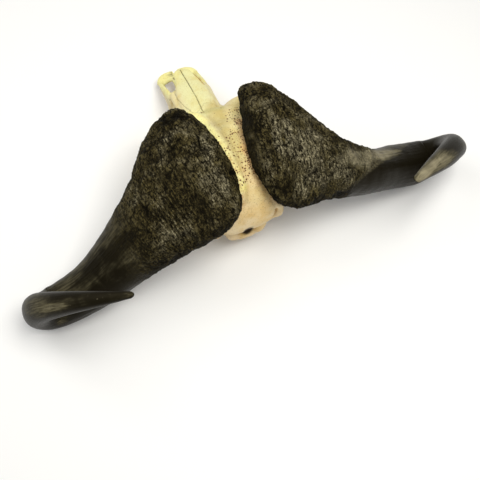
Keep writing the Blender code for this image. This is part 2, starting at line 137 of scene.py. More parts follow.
def lattice(points: np.ndarray, seed: int) -> np.ndarray:
    """Smooth noise from -1 to 1 at each point.

    Args:
        points: N x 3 places, one bump per unit.
        seed: Fixed seed of the lattice.

    Returns:
        N values.
    """
    base = np.floor(points).astype(np.int64)
    rest = points - base
    ease = rest * rest * (3.0 - 2.0 * rest)
    total = np.zeros(len(points))
    for corner in range(8):
        step = np.array([corner & 1, corner >> 1 & 1, corner >> 2 & 1])
        value = (LATTICE.mixed(base + step, seed) % 65536) / 32767.5 - 1.0
        weight = np.prod(np.where(step, ease, 1.0 - ease), axis=1)
        total += value * weight
    return total


def fractal(points: np.ndarray, octaves: int, seed: int, gain: float = 0.5) -> np.ndarray:
    """Noise with finer bumps on its bumps.

    Args:
        points: N x 3 places.
        octaves: Number of layers.
        seed: Fixed seed.
        gain: Height of each layer as a share of the one before.

    Returns:
        N values, about -1 to 1.
    """
    total = np.zeros(len(points))
    height = 1.0
    reach = 0.0
    for octave in range(octaves):
        total += height * lattice(points * OCTAVE_STEP ** octave, seed + OCTAVE_SEEDS * octave)
        reach += height
        height *= gain
    return total / reach


def drift(points: np.ndarray, size: float, octaves: int, seeds: tuple[int, ...]) -> np.ndarray:
    """Noise vectors that make an edge wander.

    Args:
        points: N x 3 places.
        size: Size of a bump.
        octaves: Number of layers.
        seeds: Fixed seed of each part of the vectors.

    Returns:
        One row for each point, with one part for each seed.
    """
    return np.stack([fractal(points / size, octaves, seed) for seed in seeds], axis=1)


def cells(points: np.ndarray, seed: int) -> tuple[np.ndarray, np.ndarray]:
    """Distances to the two nearest of scattered points, for cracks and pits.

    Args:
        points: N x 3 places, one scattered point per unit cell.
        seed: Fixed seed.

    Returns:
        The nearest and the second distance.
    """
    base = np.floor(points).astype(np.int64)
    first = np.full(len(points), FAR)
    second = np.full(len(points), FAR)
    for step in itertools.product((-1, 0, 1), repeat=3):
        cell = base + np.array(step)
        mixed = SPOTS.mixed(cell, seed)
        spot = cell + np.stack([mixed & 1023, mixed >> 10 & 1023, mixed >> 20 & 1023], axis=1) / 1023.0
        distance = np.linalg.norm(points - spot, axis=1)
        second = np.minimum(second, np.maximum(first, distance))
        first = np.minimum(first, distance)
    return first, second


def ramp(value: np.ndarray, low: float, high: float) -> np.ndarray:
    """Smooth step of values from 0 at low to 1 at high, whichever of the two is larger."""
    share = np.clip((value - low) / (high - low), 0.0, 1.0)
    return share * share * (3.0 - 2.0 * share)


# Shapes


def smooth_between(
    a: np.ndarray, b: np.ndarray, c: np.ndarray, d: np.ndarray, t: np.ndarray
) -> np.ndarray:
    """Points on a smooth curve between two of its stations.

    Args:
        a: Station before the two.
        b: First of the two.
        c: Second of the two.
        d: Station after the two.
        t: Share of the way, from 0 at b to 1 at c.

    Returns:
        One row for each share.
    """
    return 0.5 * (
        2 * b + (c - a) * t + (2 * a - 5 * b + 4 * c - d) * t ** 2 + (3 * b - a - 3 * c + d) * t ** 3
    )


def curve_rows(stations: Stations, shares: np.ndarray) -> np.ndarray:
    """Rows on a smooth curve through stations.

    Args:
        stations: Rows of numbers, spread evenly over the curve.
        shares: Places on the curve, from 0 to 1.

    Returns:
        One row of numbers per share.
    """
    rows = np.array(stations, dtype=float)
    rows = np.vstack([2 * rows[0] - rows[1], rows, 2 * rows[-1] - rows[-2]])
    spans = len(stations) - 1
    place = np.clip(shares, 0.0, 1.0) * spans
    span = np.minimum(place.astype(int), spans - 1)
    return smooth_between(*(rows[span + i] for i in range(4)), (place - span)[:, None])


def section(angles: np.ndarray, squareness: float) -> tuple[np.ndarray, np.ndarray]:
    """Points of a rounded section.

    Args:
        angles: Angles of the points, in radians.
        squareness: 2 for an ellipse, and more for squarer corners.

    Returns:
        Both parts of the points, as shares of the half sizes.
    """
    c, s = np.cos(angles), np.sin(angles)
    reach = (np.abs(c) ** squareness + np.abs(s) ** squareness) ** (-1.0 / squareness)
    return reach * c, reach * s


def unit(rows: np.ndarray) -> np.ndarray:
    """Rows scaled to length 1."""
    return rows / np.maximum(np.linalg.norm(rows, axis=-1, keepdims=True), 1e-12)


def directions(points: np.ndarray) -> np.ndarray:
    """Direction of a line at each of its points.

    Args:
        points: Points of the line, in order.

    Returns:
        One row of length 1 for each point.
    """
    after = np.vstack([points[1:], points[-1:]])
    before = np.vstack([points[:1], points[:-1]])
    return unit(after - before)


def tube_faces(rings: int, sides: int, start: int = 0) -> list[tuple[int, ...]]:
    """Faces that join rings of points into a tube, with fans to two middle points that follow the rings.

    Args:
        rings: Number of rings.
        sides: Points in each ring.
        start: Index of the first point.

    Returns:
        Lists of point indices.
    """
    i = np.arange(rings - 1)[:, None] * sides
    j = np.arange(sides)[None, :]
    k = (j + 1) % sides
    quads = np.stack([i + j, i + k, i + sides + k, i + sides + j], axis=-1).reshape(-1, 4) + start
    faces = [tuple(row) for row in quads.tolist()]
    near, far = start + rings * sides, start + rings * sides + 1
    last = start + (rings - 1) * sides
    for side in range(sides):
        following = (side + 1) % sides
        faces.append((start + following, start + side, near))
        faces.append((last + side, last + following, far))
    return faces


def add_tube(points: list, faces: list, rings: np.ndarray) -> None:
    """Adds a closed tube to lists of points and faces.

    Args:
        points: Points so far; the tube's are added.
        faces: Faces so far; the tube's are added.
        rings: Rings x sides x 3 points.
    """
    start = len(points)
    points.extend(rings.reshape(-1, 3).tolist())
    points.append(rings[0].mean(axis=0).tolist())
    points.append(rings[-1].mean(axis=0).tolist())
    faces.extend(tube_faces(rings.shape[0], rings.shape[1], start))


def solid(name: str, points: list | np.ndarray, faces: list, outward: bool = True) -> bpy.types.Object:
    """A new object from points and faces, linked to the scene.

    Args:
        name: Name of the object.
        points: Points in the row frame.
        faces: Lists of point indices.
        outward: True to turn the faces outward.

    Returns:
        The object, at the origin.
    """
    mesh = bpy.data.meshes.new(name)
    mesh.from_pydata(np.asarray(points).tolist(), [], faces)
    if outward:
        builder = bmesh.new()
        builder.from_mesh(mesh)
        bmesh.ops.recalc_face_normals(builder, faces=builder.faces)
        builder.to_mesh(mesh)
        builder.free()
    made = bpy.data.objects.new(name, mesh)
    bpy.context.scene.collection.objects.link(made)
    return made


def bake_modifiers(piece: bpy.types.Object) -> None:
    """Turns a piece with its modifiers into a plain mesh.

    Args:
        piece: Piece, which has no modifiers afterwards.
    """
    bpy.context.view_layer.update()
    graph = bpy.context.evaluated_depsgraph_get()
    mesh = bpy.data.meshes.new_from_object(
        piece.evaluated_get(graph), preserve_all_data_layers=True, depsgraph=graph
    )
    old = piece.data
    piece.modifiers.clear()
    piece.data = mesh
    mesh.name = piece.name
    bpy.data.meshes.remove(old)


def modify(piece: bpy.types.Object, kind: str, **settings: object) -> None:
    """Adds a modifier and makes its result the piece's mesh.

    Args:
        piece: Piece to change.
        kind: Type of the modifier.
        settings: Properties of the modifier.
    """
    modifier = piece.modifiers.new(kind.lower(), kind)
    for key, value in settings.items():
        setattr(modifier, key, value)
    bake_modifiers(piece)


def grow_nodes(
    piece: bpy.types.Object, name: str, tree: bpy.types.NodeTree, values: dict[str, object]
) -> None:
    """Runs a Geometry Nodes tree on a piece and makes its result the piece's mesh.

    Args:
        piece: Piece to change.
        name: Name of the modifier.
        tree: Tree to run.
        values: Values by the identifiers of the tree's inputs.
    """
    modifier = piece.modifiers.new(name, "NODES")
    modifier.node_group = tree
    for identifier, value in values.items():
        modifier[identifier] = value
    bake_modifiers(piece)


def places_of(mesh: bpy.types.Mesh) -> np.ndarray:
    """Points of a mesh.

    Args:
        mesh: Mesh to read.

    Returns:
        N x 3 numbers.
    """
    flat = np.empty(len(mesh.vertices) * 3)
    mesh.vertices.foreach_get("co", flat)
    return flat.reshape(-1, 3)


def normals_of(mesh: bpy.types.Mesh) -> np.ndarray:
    """Outward directions at the points of a mesh.

    Args:
        mesh: Mesh to read.

    Returns:
        N x 3 numbers.
    """
    flat = np.empty(len(mesh.vertices) * 3)
    mesh.vertex_normals.foreach_get("vector", flat)
    return flat.reshape(-1, 3)


def put_places(mesh: bpy.types.Mesh, points: np.ndarray) -> None:
    """Moves the points of a mesh."""
    mesh.vertices.foreach_set("co", np.ascontiguousarray(points).ravel())
    mesh.update()


def store(mesh: bpy.types.Mesh, name: str, values: np.ndarray) -> None:
    """Keeps a number, a vector or a colour for each point of a mesh.

    Args:
        mesh: Mesh that gets the attribute.
        name: Name of the attribute.
        values: N numbers, N x 3 for vectors or N x 4 for colours.
    """
    kind, key = {1: ("FLOAT", "value"), 3: ("FLOAT_VECTOR", "vector"), 4: ("FLOAT_COLOR", "color")}[
        1 if values.ndim == 1 else values.shape[1]
    ]
    layer = mesh.attributes.new(name, kind, "POINT")
    layer.data.foreach_set(key, np.ascontiguousarray(values, dtype=np.float32).ravel())


# Node trees


class Wiring:
    """Adds nodes to a tree, with their inputs given as sockets or plain values."""

    def __init__(self, tree: bpy.types.NodeTree) -> None:
        """Keeps the tree."""
        self.tree = tree

    def node(self, kind: str, inputs: dict | None = None, **settings: object) -> bpy.types.Node:
        """Adds a node.

        Args:
            kind: Type of the node.
            inputs: Socket or value for each input, by name or number.
            settings: Properties of the node.

        Returns:
            The node.
        """
        made = self.tree.nodes.new(kind)
        for key, value in settings.items():
            setattr(made, key, value)
        for key, value in (inputs or {}).items():
            if isinstance(value, bpy.types.NodeSocket):
                self.tree.links.new(value, made.inputs[key])
            else:
                made.inputs[key].default_value = value
        return made

    def math(self, operation: str, a: object, b: object = 0.0, clamp: bool = False) -> bpy.types.NodeSocket:
        """Result of a sum or another operation on two numbers."""
        return self.node("ShaderNodeMath", {0: a, 1: b}, operation=operation, use_clamp=clamp).outputs[0]

    def times(self, a: object, b: object, clamp: bool = False) -> bpy.types.NodeSocket:
        """Product of two numbers."""
        return self.math("MULTIPLY", a, b, clamp)

    def plus(self, a: object, b: object, clamp: bool = False) -> bpy.types.NodeSocket:
        """Sum of two numbers."""
        return self.math("ADD", a, b, clamp)

    def minus(self, a: object, b: object, clamp: bool = False) -> bpy.types.NodeSocket:
        """Difference of two numbers."""
        return self.math("SUBTRACT", a, b, clamp)

    def scaled(self, vector: object, factor: object) -> bpy.types.NodeSocket:
        """Vector multiplied by a number."""
        inputs = {0: vector, "Scale": factor}
        return self.node("ShaderNodeVectorMath", inputs, operation="SCALE").outputs[0]

    def span(
        self, value: object, low: float, high: float, to_low: float = 0.0, to_high: float = 1.0
    ) -> bpy.types.NodeSocket:
        """Value carried from one range to another, smoothly and within it."""
        inputs = {"Value": value, "From Min": low, "From Max": high, "To Min": to_low, "To Max": to_high}
        return self.node("ShaderNodeMapRange", inputs, interpolation_type="SMOOTHSTEP").outputs["Result"]

    def stretch(self, vector: object, scale: Triple) -> bpy.types.NodeSocket:
        """Vector with each part multiplied."""
        return self.node("ShaderNodeVectorMath", {0: vector, 1: scale}, operation="MULTIPLY").outputs[0]

    def noise(
        self, vector: object, scale: float, detail: float = 3.0, rough: float = 0.5, warp: float = 0.0
    ) -> bpy.types.NodeSocket:
        """Noise from 0 to 1."""
        inputs = {"Vector": vector, "Scale": scale, "Detail": detail, "Roughness": rough, "Distortion": warp}
        return self.node("ShaderNodeTexNoise", inputs).outputs[0]

    def mix(self, share: object, a: object, b: object, blend: str = "MIX") -> bpy.types.NodeSocket:
        """Mix of two colours.

        Args:
            share: Share of the second colour.
            a: First colour.
            b: Second colour.
            blend: Way of mixing.

        Returns:
            The mixed colour.
        """
        made = self.tree.nodes.new("ShaderNodeMix")
        made.data_type = "RGBA"
        made.blend_type = blend
        for index, value in ((0, share), (6, a), (7, b)):
            if isinstance(value, bpy.types.NodeSocket):
                self.tree.links.new(value, made.inputs[index])
            elif index:
                made.inputs[index].default_value = (*value, 1.0)
            else:
                made.inputs[index].default_value = value
        return made.outputs[2]

    def attribute(self, name: str, output: str = "Fac") -> bpy.types.NodeSocket:
        """Output of an attribute of the mesh."""
        return self.node("ShaderNodeAttribute", attribute_name=name).outputs[output]

    def bump(
        self, height: object, depth: float, strength: float = 1.0, normal: object = None
    ) -> bpy.types.NodeSocket:
        """Normal that follows fine heights.

        Args:
            height: Heights, from 0 to 1.
            depth: Height in metres that 1 stands for.
            strength: How much of the slope shows.
            normal: Normal to start from, if it isn't the mesh's own.

        Returns:
            The normal.
        """
        inputs = {"Height": height, "Distance": depth, "Strength": strength}
        if normal is not None:
            inputs["Normal"] = normal
        return self.node("ShaderNodeBump", inputs).outputs["Normal"]

    def feed(self, shader: bpy.types.Node, **sockets: bpy.types.NodeSocket) -> None:
        """Links sockets to a shader's inputs.

        Args:
            shader: Shader node.
            sockets: Socket for each input, with its name in small letters and _ for a space.
        """
        for name, socket in sockets.items():
            self.tree.links.new(socket, shader.inputs[name.replace("_", " ").title()])

    def named(self, name: str) -> bpy.types.NodeSocket:
        """Attribute of the mesh, in Geometry Nodes."""
        made = self.node("GeometryNodeInputNamedAttribute", {"Name": name}, data_type="FLOAT")
        return made.outputs["Attribute"]

    def give_out(self, geometry: object, material: object) -> None:
        """Ends a Geometry Nodes tree: makes its instances real and sets their material.

        Args:
            geometry: Geometry that comes out.
            material: Material of all of it.
        """
        real = self.node("GeometryNodeRealizeInstances", {"Geometry": geometry}).outputs[0]
        inputs = {"Geometry": real, "Material": material}
        dressed = self.node("GeometryNodeSetMaterial", inputs).outputs[0]
        self.node("NodeGroupOutput", {"Geometry": dressed})


def geometry_tree(name: str, inputs: tuple[tuple[str, str, object], ...]) -> tuple[Wiring, dict[str, object]]:
    """A new Geometry Nodes tree with named inputs, that changes a mesh.

    Args:
        name: Name of the tree.
        inputs: Name, type of socket and value of each input after the mesh.

    Returns:
        The wiring of the tree, and the values by the identifiers of its inputs.
    """
    tree = bpy.data.node_groups.new(name, "GeometryNodeTree")
    face = tree.interface
    face.new_socket("Geometry", in_out="INPUT", socket_type="NodeSocketGeometry")
    values = {
        face.new_socket(label, in_out="INPUT", socket_type=kind).identifier: value
        for label, kind, value in inputs
    }
    face.new_socket("Geometry", in_out="OUTPUT", socket_type="NodeSocketGeometry")
    return Wiring(tree), values


def surface_tree(name: str) -> tuple[bpy.types.Material, Wiring, bpy.types.Node]:
    """A new material.

    Args:
        name: Name of the material.

    Returns:
        The material, its wiring and its shader node.
    """
    made = bpy.data.materials.new(name)
    made.use_nodes = True
    return made, Wiring(made.node_tree), made.node_tree.nodes["Principled BSDF"]


PIT_DRIFT_SCALE = 260.0
PIT_DRIFT = 0.0026
PIT_SIZES = (0.45, 1.25)  # smallest and largest pit as shares of the width asked for


def pit_depths(
    wiring: Wiring, place: object, spacing: object, width: object, wanted: object
) -> bpy.types.NodeSocket:
    """Depth in the bone's pits, the same in a material as in Geometry Nodes.

    Args:
        wiring: Wiring of the tree.
        place: Position.
        spacing: Distance between pits.
        width: Width of a pit as a share of the spacing.
        wanted: Share of the pits that are there.

    Returns:
        The depth, from 0 at a pit's edge to 1 in its middle.
    """
    inputs = {"Vector": place, "Scale": PIT_DRIFT_SCALE, "Detail": 1.0}
    wandering = wiring.scaled(wiring.node("ShaderNodeTexNoise", inputs).outputs["Color"], PIT_DRIFT)
    place = wiring.node("ShaderNodeVectorMath", {0: place, 1: wandering}, operation="ADD").outputs[0]
    inputs = {"Vector": place, "Scale": wiring.math("DIVIDE", 1.0, spacing)}
    spot = wiring.node("ShaderNodeTexVoronoi", inputs, voronoi_dimensions="2D").outputs
    chance = wiring.node("ShaderNodeSeparateXYZ", {0: spot["Color"]}).outputs
    shown = wiring.math("LESS_THAN", chance[0], wanted)
    size = wiring.times(width, wiring.span(chance[1], 0.0, 1.0, *PIT_SIZES))
    deep = wiring.minus(1.0, wiring.math("DIVIDE", spot["Distance"], size), clamp=True)
    return wiring.times(deep, shown)


@dataclass(frozen=True)
class BoneFinish:
    """Dry bone: tinted by region, with pores, brown pits, open seams and stains, and painted shade in its
    openings and along some of its lines.
    """

    pit: Colour = (0.11, 0.048, 0.014)
    stain: Colour = (0.50, 0.25, 0.075)
    # Colour of the dark seams and of the painted shade along some lines.
    suture: Colour = (0.075, 0.050, 0.018)
    # Colour of the painted shade inside the openings.
    hollow: Colour = (0.030, 0.018, 0.008)
    grain: Colour = (0.70, 0.56, 0.34)
    cloud: Colour = (0.93, 0.86, 0.68)
    pit_spacing: float = 0.0048
    pit_width: float = 0.42
    cloud_scale: float = 34.0
    grain_scale: float = 380.0
    fibre_scale: Triple = (420.0, 70.0, 300.0)
    blotch_scale: float = 120.0
    pore_scale: float = 420.0
    specular: float = 0.35

    def material(self) -> bpy.types.Material:
        """The bone's material.

        Returns:
            The material, which reads the piece's tint, pore, pits, stain, seam and hollow attributes.
        """
        made, wiring, shader = surface_tree("dry bone")
        where = wiring.node("ShaderNodeTexCoord").outputs["Object"]
        cloud = wiring.noise(where, self.cloud_scale, 4.0, 0.6)
        grain = wiring.noise(where, self.grain_scale, 3.0, 0.6)
        fibre = wiring.noise(wiring.stretch(where, self.fibre_scale), 1.0, 3.0, 0.6)
        tint = wiring.attribute("tint", "Color")
        colour = wiring.mix(wiring.span(cloud, 0.40, 0.70), tint, self.cloud, "MULTIPLY")
        colour = wiring.mix(wiring.span(grain, 0.50, 0.78, 0.0, 0.45), colour, self.grain, "MULTIPLY")
        colour = wiring.mix(wiring.span(fibre, 0.55, 0.75, 0.0, 0.25), colour, self.grain, "MULTIPLY")
        blotch = wiring.noise(where, self.blotch_scale, 4.0, 0.65, 0.8)
        stained = wiring.times(wiring.attribute("stain"), wiring.span(blotch, 0.40, 0.62), clamp=True)
        colour = wiring.mix(stained, colour, self.stain)
        spot = wiring.node("ShaderNodeTexVoronoi", {"Vector": where, "Scale": self.pore_scale}).outputs
        chance = wiring.node("ShaderNodeSeparateXYZ", {0: spot["Color"]}).outputs[0]
        shown = wiring.math("LESS_THAN", chance, wiring.attribute("pore"))
        pore = wiring.times(wiring.span(spot["Distance"], 0.34, 0.12), shown)
        colour = wiring.mix(wiring.times(pore, 0.75), colour, self.pit)
        sunk = pit_depths(wiring, where, self.pit_spacing, self.pit_width, wiring.attribute("pits"))
        colour = wiring.mix(wiring.span(sunk, 0.0, 0.25, 0.0, 0.7), colour, self.stain)
        colour = wiring.mix(wiring.span(sunk, 0.15, 0.50), colour, self.pit)
        # Dark seams, and painted shade along the forehead crease, the step beside the right nasal, a hole and
        # a notch at the back.
        colour = wiring.mix(wiring.attribute("seam"), colour, self.suture)
        # Painted shade inside the openings.
        colour = wiring.mix(wiring.attribute("hollow"), colour, self.hollow)
        shader.inputs["Specular IOR Level"].default_value = self.specular
        height = wiring.minus(wiring.times(grain, 0.30), wiring.times(pore, 0.6))
        height = wiring.plus(height, wiring.times(fibre, 0.15))
        wiring.feed(
            shader, base_color=colour, roughness=wiring.span(cloud, 0.2, 0.8, 0.46, 0.62),
            normal=wiring.bump(height, 0.0010, 0.9)
        )
        return made


@dataclass(frozen=True)
class HornFinish:
    """Keratin: dark olive-brown bark with khaki tops on the boss and dark satin on the shaft and tip, with
    painted sheen, highlights and shade.

    The parts of a scale are along, across and up in the sheath's own measure.
    """

    deep: Colour = (0.0026, 0.0021, 0.0012)
    body: Colour = (0.0190, 0.0150, 0.0062)
    olive: Colour = (0.090, 0.072, 0.026)
    grey: Colour = (0.105, 0.092, 0.056)
    pale: Colour = (0.30, 0.265, 0.160)
    satin: Colour = (0.0085, 0.0068, 0.0034)
    # Colour of the painted sheen along the fibres of the smooth shaft and tip.
    painted_sheen: Colour = (0.120, 0.105, 0.060)
    # Colour of the real nicks and scuffs, and of the painted highlights on the smooth tips and bends.
    worn: Colour = (0.42, 0.37, 0.24)
    wrinkle_scale: Triple = (240.0, 46.0, 46.0)
    wrinkle_gap: float = 0.050
    crackle_scale: Triple = (60.0, 190.0, 190.0)
    crackle_gap: float = 0.040
    strand_scale: Triple = (12.0, 300.0, 300.0)
    nick_scale: Triple = (150.0, 420.0, 420.0)
    grain_scale: float = 330.0
    cloud_scale: float = 34.0
    blotch_scale: float = 95.0
    wave_scale: float = 900.0
    wave_shift: float = 9.0
    specular: float = 0.07
    specular_tint: Colour = (1.0, 0.88, 0.58)

    def network(
        self, wiring: Wiring, where: object, scale: Triple, gap: float
    ) -> bpy.types.NodeSocket:
        """Tops between winding cracks.

        Args:
            wiring: Wiring of the tree.
            where: Place on the sheath.
            scale: Scale of the cracks along each axis.
            gap: Width of a crack as a share of the noise.

        Returns:
            The height of the tops, from 0 in a crack to 1.
        """
        winding = wiring.noise(wiring.stretch(where, scale), 1.0, 3.0, 0.6, 0.4)
        apart = wiring.math("ABSOLUTE", wiring.minus(winding, 0.5))
        return wiring.span(apart, gap * 0.12, gap)

    def material(self) -> bpy.types.Material:
        """The horn's material.

        Returns:
            The material, which reads the piece's sheath, rough, tops, crevice, light, rings and scuff
            attributes.
        """
        made, wiring, shader = surface_tree("horn keratin")
        where = wiring.node("ShaderNodeTexCoord").outputs["Object"]
        sheath = wiring.attribute("sheath", "Vector")
        rough = wiring.attribute("rough")
        light = wiring.attribute("light")
        wrinkle = self.network(wiring, sheath, self.wrinkle_scale, self.wrinkle_gap)
        crackle = self.network(wiring, sheath, self.crackle_scale, self.crackle_gap)
        grain = wiring.noise(where, self.grain_scale, 3.0, 0.65)
        strand = wiring.noise(wiring.stretch(sheath, self.strand_scale), 1.0, 4.0, 0.6)
        cloud = wiring.noise(where, self.cloud_scale, 3.0, 0.55, 0.5)
        blotch = wiring.noise(where, self.blotch_scale, 2.0, 0.6, 0.8)
        along = wiring.node("ShaderNodeSeparateXYZ", {0: sheath}).outputs[0]
        phase = wiring.plus(wiring.times(along, self.wave_scale), wiring.times(blotch, self.wave_shift))
        wave = wiring.times(wiring.math("SINE", phase), wiring.attribute("rings"))
        # The light attribute carries painted light and shade as well as tone: it lifts the zone and turns the
        # hue grey below; the noises are tone.
        zone = wiring.times(light, 0.33)
        for part, weight in ((cloud, 0.50), (blotch, 0.18), (wave, 0.22)):
            zone = wiring.plus(zone, wiring.times(part, weight))
        zone = wiring.plus(zone, 0.19, clamp=True)
        # Raised tops lighter than the cracks between them: partly the keratin's own tone, partly painted
        # highlight and painted shade.
        tops = wiring.times(wrinkle, wiring.span(crackle, 0.0, 1.0, 0.55, 1.0))
        tops = wiring.times(tops, wiring.span(wiring.attribute("tops"), 0.0, 0.8, 0.6, 1.0))
        value = wiring.times(wiring.times(tops, wiring.span(grain, 0.36, 0.66, 0.75, 1.30)), zone)
        greyness = wiring.span(wiring.plus(cloud, wiring.times(light, 0.35)), 0.35, 1.05)
        hue = wiring.mix(greyness, self.olive, self.grey)
        colour = wiring.mix(wiring.span(value, 0.05, 0.28), self.deep, self.body)
        colour = wiring.mix(wiring.span(value, 0.18, 0.62), colour, hue)
        colour = wiring.mix(wiring.span(value, 0.62, 1.10), colour, self.pale)
        # Painted sheen and painted highlights on the smooth shaft and tip, strongest where the light
        # attribute is high.
        sheen = wiring.plus(wiring.times(light, 0.42), wiring.span(cloud, 0.2, 0.8, 0.35, 0.65))
        shine = wiring.times(wiring.span(strand, 0.36, 0.66, 0.22, 1.15), wiring.span(sheen, 0.30, 1.00))
        smooth = wiring.mix(shine, self.satin, self.painted_sheen)
        # Painted highlight where the painted sheen is strongest.
        smooth = wiring.mix(wiring.span(sheen, 0.85, 1.75, 0.0, 0.8), smooth, self.worn)
        colour = wiring.mix(rough, smooth, colour)
        # Painted shade in the cracks, pits and dents.
        colour = wiring.mix(wiring.attribute("crevice_shade"), colour, self.deep)
        nick = wiring.span(
            wiring.noise(wiring.stretch(sheath, self.nick_scale), 1.0, 2.0, 0.7), 0.72, 0.78
        )
        nicks = wiring.times(nick, wiring.span(rough, 1.0, 0.3, 0.0, 0.35))
        colour = wiring.mix(wiring.math("MAXIMUM", nicks, wiring.attribute("scuff")), colour, self.worn)
        dullness = wiring.plus(
            wiring.span(strand, 0.3, 0.7, -0.03, 0.05), wiring.span(rough, 0.0, 1.0, 0.36, 0.65)
        )
        shader.inputs["Specular IOR Level"].default_value = self.specular
        shader.inputs["Specular Tint"].default_value = (*self.specular_tint, 1.0)
        normal = wiring.bump(wiring.times(tops, wiring.span(rough, 0.0, 1.0, 0.04, 1.0)), 0.0010, 1.0)
        normal = wiring.bump(wave, 0.0006, 1.0, normal)
        normal = wiring.bump(
            wiring.times(strand, wiring.span(rough, 0.0, 1.0, 0.55, 0.10)), 0.0010, 0.8, normal
        )
        normal = wiring.bump(
            wiring.times(grain, wiring.span(rough, 0.0, 1.0, 0.08, 1.0)), 0.0022, 0.9, normal
        )
        wiring.feed(shader, base_color=colour, roughness=dullness, normal=normal)
        return made


@dataclass(frozen=True)
class ToothFinish:
    """Worn enamel and dentine with brown stain in its hollows."""

    enamel: Colour = (0.66, 0.58, 0.40)
    dentine: Colour = (0.42, 0.29, 0.13)
    tar: Colour = (0.05, 0.032, 0.016)
    streak_scale: Triple = (420.0, 420.0, 60.0)

    def material(self) -> bpy.types.Material:
        """The tooth's material.

        Returns:
            The material, which reads the piece's hollow and neck attributes.
        """
        made, wiring, shader = surface_tree("tooth enamel")
        where = wiring.node("ShaderNodeTexCoord").outputs["Object"]
        streak = wiring.noise(wiring.stretch(where, self.streak_scale), 1.0, 3.0, 0.6)
        colour = wiring.mix(wiring.span(streak, 0.4, 0.75, 0.0, 0.7), self.enamel, self.dentine)
        colour = wiring.mix(wiring.attribute("neck"), colour, self.dentine)
        hollow = wiring.attribute("hollow")
        colour = wiring.mix(wiring.span(hollow, 0.15, 0.5), colour, self.dentine)
        colour = wiring.mix(wiring.span(hollow, 0.6, 0.95), colour, self.tar)
        wiring.feed(
            shader, base_color=colour, roughness=wiring.span(hollow, 0.0, 0.6, 0.26, 0.6),
            normal=wiring.bump(streak, 0.0004, 0.6)
        )
        return made


# Horns

# A horn's stations: x, y and z of the middle, half length to the front, height above, depth below, and turn
# about the vertical in degrees.
HORN_LEFT: Stations = (
    (0.023, -0.113, 0.208, 0.042, 0.016, 0.016, 6),
    (0.030, -0.115, 0.210, 0.094, 0.038, 0.030, 6),
    (0.047, -0.119, 0.210, 0.126, 0.054, 0.038, 6),
    (0.075, -0.114, 0.207, 0.137, 0.061, 0.042, 7),
    (0.123, -0.093, 0.196, 0.126, 0.061, 0.045, 10),
    (0.184, -0.058, 0.170, 0.092, 0.056, 0.050, 14),
    (0.260, -0.032, 0.126, 0.067, 0.049, 0.050, 16),
    (0.340, -0.013, 0.077, 0.053, 0.042, 0.046, 14),
    (0.410, -0.008, 0.045, 0.047, 0.039, 0.042, 10),
    (0.452, -0.006, 0.045, 0.043, 0.035, 0.038, 4),
    (0.466, 0.003, 0.086, 0.035, 0.031, 0.031, 0),
    (0.448, 0.016, 0.136, 0.030, 0.026, 0.026, -10),
    (0.402, 0.040, 0.184, 0.023, 0.020, 0.020, -20),
    (0.338, 0.068, 0.224, 0.015, 0.013, 0.013, -22),
    (0.270, 0.093, 0.250, 0.0055, 0.005, 0.005, -22),
)
HORN_RIGHT: Stations = (
    (0.044, -0.098, 0.208, 0.046, 0.016, 0.016, 9),
    (0.051, -0.118, 0.210, 0.122, 0.038, 0.030, 6),
    (0.067, -0.116, 0.210, 0.137, 0.054, 0.038, 6),
    (0.088, -0.111, 0.206, 0.136, 0.061, 0.042, 11),
    (0.118, -0.086, 0.198, 0.122, 0.061, 0.045, 12),
    (0.184, -0.039, 0.170, 0.069, 0.056, 0.050, 14),
    (0.260, -0.017, 0.126, 0.049, 0.049, 0.050, 14),
    (0.340, -0.024, 0.077, 0.049, 0.042, 0.046, 8),
    (0.410, -0.025, 0.045, 0.049, 0.039, 0.042, 4),
    (0.456, -0.026, 0.045, 0.041, 0.035, 0.038, 0),
    (0.478, -0.014, 0.086, 0.035, 0.031, 0.031, -4),
    (0.460, 0.007, 0.136, 0.027, 0.026, 0.026, -14),
    (0.406, 0.036, 0.184, 0.023, 0.020, 0.020, -22),
    (0.348, 0.060, 0.220, 0.016, 0.013, 0.013, -24),
    (0.297, 0.079, 0.242, 0.007, 0.006, 0.006, -24),
)


@dataclass(frozen=True)
class Patch:
    """An oval area on top of a horn, seen from above in the skull's frame, and what it adds to the bark."""

    x: float
    y: float
    long: float
    wide: float
    turn: float = 0.0
    # Tone and painted light: in some patches painted highlights above 0 and painted shade below 0, in others
    # the keratin's own tone.
    light: float = 0.0
    rough: float = 0.0
    rings: float = 0.0
    streaks: float = 0.0
    pits: float = 0.0
    dent: float = 0.0
    scuff: float = 0.0

    def share(self, points: np.ndarray) -> np.ndarray:
        """How far inside the patch each point lies.

        Args:
            points: Points in the skull's frame.

        Returns:
            One value for each point, from 0 outside to 1 in the middle.
        """
        c, s = math.cos(math.radians(self.turn)), math.sin(math.radians(self.turn))
        x, y = points[:, 0] - self.x, points[:, 1] - self.y
        reach = np.hypot((c * x + s * y) / self.long, (c * y - s * x) / self.wide)
        return ramp(reach, 1.25, 0.35)


